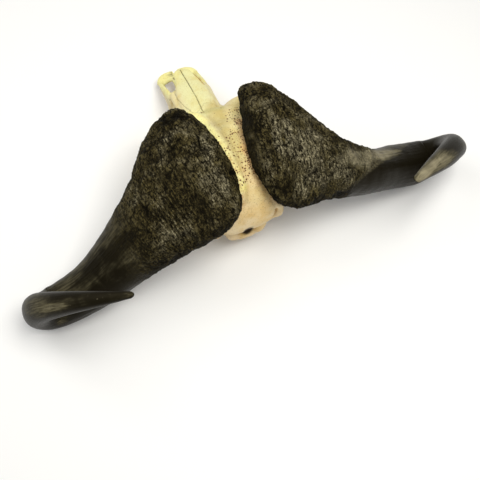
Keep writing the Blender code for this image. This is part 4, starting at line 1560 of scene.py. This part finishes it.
# Points of a line are the two axes that its view keeps, in the skull's frame.
CHEEK_SUTURE = ((-0.300, 0.060), (-0.290, 0.078), (-0.296, 0.096), (-0.282, 0.112), (-0.268, 0.124))
PREMAXILLA_SUTURE = ((-0.392, 0.040), (-0.378, 0.062), (-0.362, 0.084), (-0.352, 0.098))
BONE_LINES: dict[str, Line] = {
    "open suture of the nasals": Line(
        Seen.TOP,
        ((-0.0005, -0.258), (0.0, -0.274), (-0.001, -0.306), (0.0, -0.340), (0.001, -0.375), (0.003, -0.426)),
        0.0011, 0.0045, 1.0, 0.0004,
    ),
    "left side suture of the nasals": Line(
        Seen.TOP, ((0.018, -0.262), (0.031, -0.297), (0.034, -0.312), (0.037, -0.329), (0.036, -0.361)),
        0.0010, 0.0007, 0.50, 0.0010,
    ),
    "right side suture of the nasals": Line(
        Seen.TOP, ((-0.018, -0.262), (-0.030, -0.297), (-0.035, -0.318), (-0.036, -0.345)),
        0.0009, 0.0004, 0.16, 0.0010,
    ),
    "arc over the nasals": Line(
        Seen.TOP, ((0.022, -0.262), (0.004, -0.272), (-0.010, -0.286), (-0.023, -0.284), (-0.036, -0.270)),
        0.0014, 0.0008, 0.22, 0.0012,
    ),
    # Its dark is a painted shadow under the edge of the right nasal.
    "step beside the front of the right nasal": Line(
        Seen.TOP, ((-0.020, -0.402), (-0.023, -0.388), (-0.028, -0.369), (-0.032, -0.349)),
        0.0018, 0.0016, 0.35, 0.0006,
    ),
    # Its dark is painted shade in the crease.
    "forehead crease": Line(
        Seen.TOP,
        ((-0.005, -0.244), (-0.010, -0.227), (-0.012, -0.179), (-0.016, -0.137), (-0.017, -0.097),
         (-0.016, -0.061), (-0.011, -0.036), (-0.003, -0.020)),
        0.0060, 0.0018, 0.16, 0.0010,
    ),
    "ridge beside the left boss": Line(
        Seen.TOP,
        ((0.030, -0.264), (0.019, -0.254), (0.011, -0.229), (0.007, -0.189), (0.003, -0.140), (0.000, -0.100),
         (-0.003, -0.060), (-0.001, -0.027)),
        0.0150, -0.0040,
    ),
    "left cleft of the premaxilla": Line(Seen.TOP, ((0.013, -0.476), (0.013, -0.446)), 0.0013, 0.0040, 0.8),
    "middle cleft of the premaxilla": Line(
        Seen.TOP, ((0.000, -0.476), (-0.002, -0.450)), 0.0012, 0.0040, 0.6
    ),
    "left suture of the cheek": Line(Seen.LEFT, CHEEK_SUTURE, 0.0011, 0.0010, 0.45, 0.0016),
    "right suture of the cheek": Line(Seen.RIGHT, CHEEK_SUTURE, 0.0011, 0.0010, 0.45, 0.0016),
    "left suture of the premaxilla": Line(Seen.LEFT, PREMAXILLA_SUTURE, 0.0011, 0.0010, 0.5, 0.0012),
    "right suture of the premaxilla": Line(Seen.RIGHT, PREMAXILLA_SUTURE, 0.0011, 0.0010, 0.5, 0.0012),
    "suture of the palate": Line(
        Seen.UNDER, ((0.0, -0.375), (0.0, -0.300), (0.0, -0.195)), 0.0012, 0.0012, 0.6, 0.0008
    ),
    "cross suture of the palate": Line(
        Seen.UNDER, ((-0.040, -0.232), (-0.016, -0.246), (0.0, -0.240), (0.016, -0.246), (0.040, -0.232)),
        0.0011, 0.0010, 0.5, 0.0014,
    ),
    "seam across the skull base": Line(
        Seen.UNDER, ((-0.026, -0.074), (0.0, -0.070), (0.026, -0.074)), 0.0014, 0.0014, 0.4, 0.001
    ),
    # Its dark is painted shade in the hole.
    "dark hole in the back of the skull": Line(
        Seen.REAR, ((-0.043, 0.104), (-0.042, 0.106)), 0.0026, 0.0040, 0.9, 0.0006
    ),
    # Its dark is painted shade in the notch.
    "notch beside the nuchal corner": Line(
        Seen.REAR, ((-0.054, 0.096), (-0.054, 0.106)), 0.0040, 0.0050, 0.45, 0.0006
    ),
}
BONE_WASHES = (
    Wash(Line(Seen.TOP, ((0.0, -0.270), (0.0, -0.430)), 0.060), (0.775, 0.755, 0.400)),
    Wash(Line(Seen.TOP, ((0.048, -0.300), (0.042, -0.360)), 0.022), (0.80, 0.70, 0.37), 0.9),
    Wash(
        Line(Seen.TOP, ((0.045, -0.400), (0.040, -0.480), (-0.040, -0.480), (-0.045, -0.400)), 0.050),
        (0.88, 0.85, 0.38)
    ),
    Wash(
        Line(Seen.TOP, ((-0.026, -0.262), (-0.026, -0.190), (-0.028, -0.130), (-0.026, -0.080)), 0.034),
        (0.63, 0.54, 0.235)
    ),
    # Painted light on the right frontal, where the right boss shades it.
    Wash(
        Line(Seen.TOP, ((-0.080, -0.262), (-0.060, -0.225), (-0.050, -0.185)), 0.030),
        (0.90, 0.78, 0.38), 0.9
    ),
    Wash(
        Line(Seen.TOP, ((-0.058, -0.200), (-0.048, -0.150), (-0.040, -0.110), (-0.038, -0.040)), 0.011),
        (0.78, 0.56, 0.28), 0.9
    ),
    Wash(
        Line(Seen.TOP, ((-0.010, -0.070), (-0.024, -0.026), (-0.062, -0.010)), 0.034),
        (0.70, 0.55, 0.26), 0.9
    ),
    Wash(Line(Seen.REAR, ((-0.060, 0.130), (0.060, 0.130)), 0.060), (0.78, 0.63, 0.37), 0.8),
    Wash(
        Line(
            Seen.TOP, ((0.030, -0.264), (0.015, -0.229), (0.011, -0.189), (0.005, -0.100), (0.000, -0.050)),
            0.020
        ),
        (0.92, 0.87, 0.38)
    ),
    # Painted shadow behind the root of the nasals.
    Wash(
        Line(Seen.TOP, ((-0.003, -0.256), (-0.018, -0.260), (-0.040, -0.258)), 0.013),
        (0.56, 0.51, 0.20), 0.7
    ),
    Wash(Line(Seen.TOP, ((0.012, -0.124), (0.009, -0.090), (0.008, -0.066)), 0.008), (0.72, 0.44, 0.10), 0.9),
    # Painted shadow under the edge of the right nasal.
    Wash(
        Line(Seen.TOP, ((-0.021, -0.398), (-0.028, -0.369), (-0.032, -0.349)), 0.0030),
        (0.56, 0.36, 0.07), 0.9
    ),
    Wash(
        Line(Seen.TOP, ((0.030, -0.010), (0.011, -0.006), (-0.028, 0.002), (-0.050, -0.010)), 0.012),
        (0.76, 0.57, 0.27), 0.8
    ),
    Wash(Line(Seen.REAR, ((-0.012, 0.082), (0.012, 0.082)), 0.012), (0.50, 0.28, 0.06), 0.6),
)


def bar_rings(
    bar: Bar, mirrored: bool, bend: float, bend_from: float, sides: int = 28, steps: int = 8
) -> np.ndarray:
    """Rings of one bone bar in the skull's frame.

    Args:
        bar: Direction of its width, squareness and stations (centre, half width, height above, depth below).
        mirrored: True for the animal's right side.
        bend: Sideways bend of the snout per metre.
        bend_from: Place along the snout where the bend starts.
        sides: Points in a ring.
        steps: Rings between stations.

    Returns:
        Rings x sides x 3 points.
    """
    across, squareness, stations = bar
    rows = curve_rows(stations, np.linspace(0.0, 1.0, (len(stations) - 1) * steps + 1))
    along = directions(rows[:, :3])
    wide = unit(across - along * (along @ across)[:, None])
    tall = np.cross(wide, along)
    tall = np.where(tall[:, 2:] < 0, -tall, tall)
    c, s = section(np.arange(sides) * 2 * math.pi / sides, squareness)
    height = np.where(s[None, :] > 0, rows[:, 4:5], rows[:, 5:6]) * s
    reach = c * rows[:, 3:4]
    points = rows[:, None, :3] + wide[:, None] * reach[..., None] + tall[:, None] * height[..., None]
    points[..., 0] *= -1 if mirrored else 1
    points[..., 0] += bend * np.maximum(0.0, bend_from - points[..., 1])
    return points


@dataclass
class BonePores:
    """Pits in the bone, sunk by Geometry Nodes where the piece's pits attribute asks for them."""

    spacing: float = BoneFinish.pit_spacing
    depth: float = 0.0014
    width: float = BoneFinish.pit_width

    def tree(self, finish: bpy.types.Material) -> tuple[bpy.types.NodeTree, dict[str, object]]:
        """The node tree of the pits.

        Args:
            finish: Material of the bone.

        Returns:
            The tree, and its values by the identifiers of its inputs.
        """
        wiring, values = geometry_tree("bone pores", (
            ("Pore spacing", "NodeSocketFloat", self.spacing),
            ("Pore depth", "NodeSocketFloat", self.depth),
            ("Pore width", "NodeSocketFloat", self.width),
            ("Material", "NodeSocketMaterial", finish),
        ))
        source = wiring.node("NodeGroupInput").outputs
        place = wiring.node("GeometryNodeInputPosition").outputs[0]
        wanted = wiring.named("pits")
        deep = pit_depths(wiring, place, source["Pore spacing"], source["Pore width"], wanted)
        sink = wiring.times(wiring.times(deep, source["Pore depth"]), -1.0)
        offset = wiring.scaled(wiring.node("GeometryNodeInputNormal").outputs[0], sink)
        inputs = {"Geometry": source["Geometry"], "Offset": offset}
        wiring.give_out(wiring.node("GeometryNodeSetPosition", inputs).outputs[0], source["Material"])
        return wiring.tree, values


@dataclass
class Cranium:
    """All the fused bones: bars blended into one body, opened, then covered with relief and colour."""

    first_voxel: float = 0.0022
    opening_voxel: float = 0.0018
    voxel: float = 0.0019
    rough_triangles: int = 112000
    fine_edge: float = 0.0013
    triangles: int = 192000
    snout_bend: float = 0.025
    snout_bend_from: float = -0.300
    smoothing: int = 7
    lines: dict[str, Line] = field(default_factory=lambda: BONE_LINES)
    washes: tuple[Wash, ...] = BONE_WASHES

    def bars(self, name: str, midline: dict[str, Bar], paired: dict[str, Bar]) -> bpy.types.Object:
        """One object made of bars.

        Args:
            name: Name of the object.
            midline: Bars that stand on the midline.
            paired: Bars that stand on both sides.

        Returns:
            The object, whose bars still cross each other.
        """
        points: list = []
        faces: list = []
        wanted = [(bar, False) for bar in midline.values()]
        wanted += [(bar, mirrored) for bar in paired.values() for mirrored in (False, True)]
        for bar, mirrored in wanted:
            rings = bar_rings(bar, mirrored, self.snout_bend, self.snout_bend_from)
            add_tube(points, faces, rings + SKULL_OFFSET)
        return solid(name, points, faces)

    def body(self) -> bpy.types.Object:
        """Blends the bars and cuts the openings.

        Returns:
            The body before its fine relief.
        """
        piece = self.bars("cranium_bone", MIDLINE_BONES, PAIRED_BONES)
        openings = self.bars("skull openings", OPENINGS, PAIRED_OPENINGS)
        modify(piece, "REMESH", mode="VOXEL", voxel_size=self.first_voxel)
        modify(openings, "REMESH", mode="VOXEL", voxel_size=self.opening_voxel)
        modify(piece, "BOOLEAN", operation="DIFFERENCE", object=openings, solver="EXACT")
        modify(piece, "REMESH", mode="VOXEL", voxel_size=self.voxel)
        modify(piece, "SMOOTH", factor=0.5, iterations=self.smoothing)
        bpy.data.objects.remove(openings, do_unlink=True)
        return piece

    def thin(self, piece: bpy.types.Object, most: int) -> None:
        """Thins a piece that has too many triangles.

        Args:
            piece: Piece to thin.
            most: Number of triangles that it may keep.
        """
        count = sum(len(face.vertices) - 2 for face in piece.data.polygons)
        log.info("%s: %d triangles before thinning to %d", piece.name, count, most)
        if count > most:
            modify(piece, "DECIMATE", ratio=most / count)

    def fine_areas(self, mesh: bpy.types.Mesh) -> tuple[np.ndarray, np.ndarray]:
        """Areas where the fine relief shows most.

        Args:
            mesh: Mesh of the bone.

        Returns:
            Whether each point lies on the forehead, and whether on the nasals.
        """
        x, y, z = (places_of(mesh) - SKULL_OFFSET).T
        top = normals_of(mesh)[:, 2]
        forehead = (np.abs(x + 0.028) < 0.052) & (y > -0.262) & (z > 0.145) & (top > 0.2)
        nasals = (y < -0.255) & (z > 0.095) & (np.abs(x) < 0.042) & (top > 0.3)
        return forehead, nasals

    def refine(self, piece: bpy.types.Object) -> None:
        """Splits the long edges of the forehead and the nasals.

        Args:
            piece: Piece to refine.
        """
        for limit in (0.0024, 0.0017, self.fine_edge):
            mesh = piece.data
            forehead, nasals = self.fine_areas(mesh)
            wanted = forehead | (nasals & (limit > self.fine_edge))
            builder = bmesh.new()
            builder.from_mesh(mesh)
            edges = [
                edge for edge in builder.edges
                if wanted[edge.verts[0].index] and wanted[edge.verts[1].index] and edge.calc_length() > limit
            ]
            bmesh.ops.subdivide_edges(builder, edges=edges, cuts=1)
            bmesh.ops.triangulate(builder, faces=builder.faces)
            builder.to_mesh(mesh)
            builder.free()
            mesh.update()
            group = piece.vertex_groups.new(name="fine")
            group.add(np.flatnonzero(np.logical_or(*self.fine_areas(mesh))).tolist(), 1.0, "REPLACE")
            modify(piece, "SMOOTH", factor=0.5, iterations=2, vertex_group="fine")
            piece.vertex_groups.clear()

    def inside(self, points: np.ndarray, bar: Bar, mirrored: bool) -> np.ndarray:
        """How far inside an opening each point lies.

        Args:
            points: Points in the skull's frame.
            bar: Bar that cuts the opening.
            mirrored: True for the animal's right side.

        Returns:
            One value for each point, from 0 outside to 1.
        """
        _, _, stations = bar
        rows = curve_rows(stations, np.linspace(0.0, 1.0, 24))
        flip = np.array([-1.0 if mirrored else 1.0, 1.0, 1.0])
        best = np.full(len(points), FAR)
        for row in rows:
            reach = (points - row[:3] * flip) / np.array([row[3], row[3], max(row[4], row[5])])
            best = np.minimum(best, np.linalg.norm(reach, axis=1))
        return ramp(best, 1.40, 1.05)

    def hollows(self, points: np.ndarray) -> np.ndarray:
        """Painted shade inside the openings.

        Args:
            points: Points in the skull's frame.

        Returns:
            One value for each point, from 0 to 1.
        """
        dark = np.zeros(len(points))
        for name, share in (("nose", 0.55), ("brain stem", 1.0), ("brain stem mouth", 1.0), ("throat", 0.3)):
            deep = ramp(points[:, 1], -0.385, -0.345) if name == "nose" else 1.0
            dark = np.maximum(dark, share * deep * self.inside(points, OPENINGS[name], False))
        for name, share in (("eye socket", 0.30), ("nerve hole", 0.8)):
            for mirrored in (False, True):
                deep = ramp(np.abs(points[:, 0]), 0.112, 0.092) if name == "eye socket" else 1.0
                dark = np.maximum(dark, share * deep * self.inside(points, PAIRED_OPENINGS[name], mirrored))
        return dark

    def tint(self, points: np.ndarray, normals: np.ndarray) -> np.ndarray:
        """Colour of the bone by region.

        Args:
            points: Points in the skull's frame.
            normals: Outward directions.

        Returns:
            N x 4 colours.
        """
        colour = np.tile(np.array([0.72, 0.62, 0.37]), (len(points), 1))
        under = ramp(normals[:, 2], 0.1, -0.6)
        colour += under[:, None] * (np.array([0.66, 0.54, 0.33]) - colour)
        rear = ramp(points[:, 1], -0.040, -0.012) * ramp(points[:, 2], 0.205, 0.185)
        colour += rear[:, None] * (np.array([0.72, 0.56, 0.32]) - colour)
        blur = points + 0.004 * drift(points, 0.012, 3, (31, 32, 33))
        for wash in self.washes:
            share = wash.strength * wash.line.share(blur, normals)
            colour += share[:, None] * (np.array(wash.colour) - colour)
        return np.concatenate([np.clip(colour, 0, 1), np.ones((len(points), 1))], axis=1)

    def horn_distance(self, points: np.ndarray, side: Side) -> np.ndarray:
        """Distance from each point to a CAD horn.

        Args:
            points: Points in the skull's frame.
            side: Side of the horn.

        Returns:
            One distance for each point.
        """
        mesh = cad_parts[f"horn_{side.name.lower()}"].data
        tree = BVHTree.FromPolygons([v.co for v in mesh.vertices], [tuple(p.vertices) for p in mesh.polygons])
        return np.array([tree.find_nearest(p)[3] for p in (points + SKULL_OFFSET).tolist()])

    def build(self, finish: bpy.types.Material) -> bpy.types.Object:
        """Builds the cranium.

        Args:
            finish: Material of the bone.

        Returns:
            The piece.
        """
        piece = self.body()
        self.thin(piece, self.rough_triangles)
        self.refine(piece)
        mesh = piece.data
        points = places_of(mesh)
        normals = normals_of(mesh)
        own = points - SKULL_OFFSET
        near_left = self.horn_distance(own, Side.LEFT)
        near_right = self.horn_distance(own, Side.RIGHT)
        near = np.minimum(near_left, near_right)
        heights = 0.0007 * fractal(own / 0.018, 3, 2) + 0.00030 * fractal(own / 0.0045, 2, 4)
        # The lines' dark: dark seams, and painted shade in the crease, the step, the hole and the notch.
        seam = np.zeros(len(points))
        for line in self.lines.values():
            share = line.share(own, normals)
            heights -= line.depth * share
            seam = np.maximum(seam, line.dark * share)
        upper = ramp(own[:, 2], 0.12, 0.15)
        porous = 0.45 + 0.55 * ramp(fractal(own / 0.014, 2, 9), -0.2, 0.2)
        edge_left = ramp(near_left, 0.024, 0.004)
        edge_right = ramp(near_right, 0.052, 0.008)
        heights -= 0.0008 * upper * np.maximum(edge_left, edge_right) * np.abs(fractal(own / 0.0040, 2, 12))
        put_places(mesh, points + normals * heights[:, None])
        store(mesh, "tint", self.tint(own, normals))
        store(mesh, "seam", seam)
        store(mesh, "hollow", self.hollows(own))
        store(mesh, "pore", np.clip(0.05 + 0.60 * ramp(near, 0.060, 0.010) * upper, 0, 1))
        between = ramp(own[:, 1], -0.268, -0.252) * ramp(own[:, 1], -0.030, -0.075)
        wanted = porous * (0.95 * edge_right + 0.35 * edge_left) + 0.06
        store(mesh, "pits", upper * between * np.clip(wanted, 0, 1))
        stained = 0.5 * ramp(near_left, 0.014, 0.004) + 0.55 * ramp(near_right, 0.028, 0.006)
        store(mesh, "stain", 0.04 + upper * np.clip(stained, 0, 1))
        mesh.materials.append(finish)
        grow_nodes(piece, "pores", *BonePores().tree(finish))
        self.thin(piece, self.triangles)
        piece.data.shade_smooth()
        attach(piece, "root")
        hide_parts("cranium")
        return piece


# Teeth

MOLAR_OUTLINE = (
    (-0.50, 0.20), (-0.46, 0.50), (-0.24, 0.38), (0.00, 0.48), (0.26, 0.37), (0.48, 0.46), (0.50, 0.10),
    (0.40, -0.38), (0.24, -0.48), (0.09, -0.38), (0.00, -0.27), (-0.09, -0.38), (-0.26, -0.50),
    (-0.42, -0.36),
)
PREMOLAR_OUTLINE = (
    (-0.50, 0.16), (-0.42, 0.46), (-0.12, 0.40), (0.10, 0.50), (0.40, 0.44), (0.50, 0.16),
    (0.42, -0.30), (0.18, -0.50), (-0.18, -0.50), (-0.42, -0.30),
)


@dataclass
class CheekTooth:
    """One upper cheek tooth: an enamel column with a worn face of enamel folds round dark hollows."""

    node: str
    sides: int = 84
    worn_rings: int = 26
    wall_rings: int = 14
    fold_height: float = 0.0011
    inset: float = 0.0004

    def outline(self) -> np.ndarray:
        """Smooth outline of the tooth.

        Returns:
            One row for each side, as shares of the tooth's length and width.
        """
        corners = np.array(MOLAR_OUTLINE if self.node.startswith("molar") else PREMOLAR_OUTLINE)
        count = len(corners)
        t = np.arange(self.sides) / self.sides * count
        i = t.astype(int)
        return smooth_between(*(corners[(i + k) % count] for k in (-1, 0, 1, 2)), (t - i)[:, None])

    def hollows(self) -> tuple[Triple, ...]:
        """Crescent hollows of the worn face.

        Returns:
            Middle along, middle across and half length of each one.
        """
        if self.node.startswith("molar"):
            return ((-0.24, 0.02, 0.15), (0.25, 0.02, 0.15))
        return ((0.0, 0.06, 0.20),)

    def build(self, finish: bpy.types.Material) -> bpy.types.Object:
        """Builds the tooth.

        Args:
            finish: Material of the tooth.

        Returns:
            The piece.
        """
        low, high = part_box(self.node)
        side = 1 if self.node.endswith("left") else -1
        middle = (low + high) / 2
        length = high.y - low.y
        width = high.x - low.x
        outline = self.outline()
        span = outline.max(axis=0) - outline.min(axis=0)
        shape = (outline - (outline.max(axis=0) + outline.min(axis=0)) / 2) / span
        rings = []
        hollow = []
        for step in range(self.worn_rings):
            share = (step + 1) / (self.worn_rings + 1)
            flat = shape * share
            deep = np.zeros(len(flat))
            for along, across, half in self.hollows():
                bow = across - 1.6 * (flat[:, 0] - along) ** 2
                reach = np.hypot((flat[:, 0] - along) / half, (flat[:, 1] - bow) / 0.085)
                deep = np.maximum(deep, ramp(reach, 1.15, 0.55))
                ring = np.exp(-((reach - 1.45) / 0.22) ** 2)
                deep = np.where(ring > 0.35, deep * (1 - ring), deep)
            dentine = 0.45 * ramp(np.full(len(flat), share), 0.92, 0.80) * (deep < 0.05)
            dark = np.maximum(deep, dentine)
            z = self.fold_height * (0.55 * dentine + 2.6 * deep)
            rings.append(
                np.stack([middle.x + side * flat[:, 1] * width, middle.y + flat[:, 0] * length, z], axis=1)
            )
            hollow.append(dark)
        for step in range(self.wall_rings):
            share = step / (self.wall_rings - 1)
            swell = 1.0 - 0.012 * math.sin(math.pi * share) ** 2
            x = middle.x + side * shape[:, 1] * width * swell
            y = middle.y + shape[:, 0] * length * swell
            z = np.full(len(shape), self.inset + share * (high.z - 2 * self.inset))
            rings.append(np.stack([x, y, z], axis=1))
            hollow.append(np.zeros(len(shape)))
        points: list = []
        faces: list = []
        add_tube(points, faces, np.array(rings))
        piece = solid(f"{self.node}_enamel", points, faces)
        mesh = piece.data
        heights = places_of(mesh)[:, 2]
        store(mesh, "hollow", np.concatenate([np.array(hollow).ravel(), [0.5, 0.0]]))
        store(mesh, "neck", ramp(heights, 0.010, 0.019))
        mesh.materials.append(finish)
        mesh.shade_smooth()
        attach(piece, "root")
        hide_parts(self.node)
        return piece


@dataclass
class Studio:
    """The floor, the lights and the camera at the photograph's angle."""

    azimuth: float = 156.1
    elevation: float = 70.0
    roll: float = 2.9
    eye: Triple = (0.1962, 0.4091, 1.27)
    lens: float = 45.0
    sensor: float = 36.0
    aim: Triple = (0.0, -0.12, 0.12)
    floor_reach: float = 14.0
    sky: float = 0.40

    def floor(self) -> bpy.types.Object:
        """A plain pale floor.

        Returns:
            The floor.
        """
        reach = self.floor_reach
        points = [(-reach, -reach, 0), (reach, -reach, 0), (reach, reach, 0), (-reach, reach, 0)]
        plane = solid("floor", points, [(0, 1, 2, 3)], outward=False)
        made, _, shader = surface_tree("pale floor")
        shader.inputs["Base Color"].default_value = (0.93, 0.93, 0.92, 1.0)
        shader.inputs["Roughness"].default_value = 0.9
        plane.data.materials.append(made)
        return plane

    def lamp(self, name: str, place: Triple, size: float, power: float, colour: Colour) -> None:
        """A square soft light that looks at the skull.

        Args:
            name: Name of the light.
            place: Place in the skull's frame.
            size: Length of a side.
            power: Power in watts.
            colour: Colour of the light.
        """
        light = bpy.data.lights.new(name, "AREA")
        light.shape = "SQUARE"
        light.size = size
        light.energy = power
        light.color = colour
        lamp = bpy.data.objects.new(name, light)
        bpy.context.scene.collection.objects.link(lamp)
        spot = Vector(place) + SKULL_AT
        facing = spot - (Vector(self.aim) + SKULL_AT)
        lamp.matrix_world = Matrix.Translation(spot) @ facing.to_track_quat("Z", "Y").to_matrix().to_4x4()

    def lights(self) -> None:
        """Soft studio light."""
        world = bpy.context.scene.world or bpy.data.worlds.new("studio")
        bpy.context.scene.world = world
        world.use_nodes = True
        back = world.node_tree.nodes["Background"]
        back.inputs["Color"].default_value = (1.0, 1.0, 1.0, 1.0)
        back.inputs["Strength"].default_value = self.sky
        self.lamp("key", (-0.35, 0.25, 1.90), 0.9, 27.0, (1.0, 0.98, 0.93))
        self.lamp("fill", (0.9, -0.9, 1.7), 1.4, 12.0, (1.0, 0.99, 0.97))
        bpy.context.scene.view_settings.view_transform = "Standard"

    def camera(self) -> None:
        """The camera, where the photograph was taken from."""
        az, el, roll = (math.radians(value) for value in (self.azimuth, self.elevation, self.roll))
        back = Vector((math.sin(az) * math.cos(el), -math.cos(az) * math.cos(el), math.sin(el)))
        right = Vector((0, 0, 1)).cross(back).normalized()
        up = back.cross(right)
        c, s = math.cos(roll), math.sin(roll)
        axes = (c * right + s * up, c * up - s * right, back)
        data = bpy.data.cameras.new("camera")
        data.lens = self.lens
        data.sensor_width = self.sensor
        data.clip_start = 0.05
        made = bpy.data.objects.new("camera", data)
        bpy.context.scene.collection.objects.link(made)
        place = Vector(self.eye) + SKULL_AT
        rows = [[axis[i] for axis in axes] + [place[i]] for i in range(3)]
        made.matrix_world = Matrix([*rows, [0, 0, 0, 1]])
        bpy.context.scene.camera = made

    def build(self) -> None:
        """Sets the studio up."""
        self.floor()
        self.lights()
        self.camera()


def tell(piece: bpy.types.Object) -> None:
    """Reports a finished piece.

    Args:
        piece: Piece to count.
    """
    triangles = sum(len(face.vertices) - 2 for face in piece.data.polygons)
    log.info("%s: %d triangles", piece.name, triangles)


def main() -> None:
    """Builds every piece and the studio, in order."""
    logging.basicConfig(level=logging.INFO, format="%(name)s %(relativeCreated)d ms %(message)s")
    keratin = HornFinish().material()
    left = HornSheath(Side.LEFT, HORN_LEFT, LEFT_PATCHES, seed=11)
    right = HornSheath(
        Side.RIGHT, HORN_RIGHT, RIGHT_PATCHES, seed=29, lengthwise_bark=0.0, rough_until=0.262,
        rough_slope=-2.4, rough_blend=0.030, rough_most=0.285, painted_shade_behind=1.5, step_down=0.0004,
    )
    tell(left.build(keratin))
    tell(right.build(keratin))
    tell(Cranium().build(BoneFinish().material()))
    enamel = ToothFinish().material()
    for side in ("left", "right"):
        for name in ("premolar_2", "premolar_3", "premolar_4", "molar_1", "molar_2", "molar_3"):
            tell(CheekTooth(f"{name}_{side}").build(enamel))
    Studio().build()


if __name__ == "__main__":
    main()
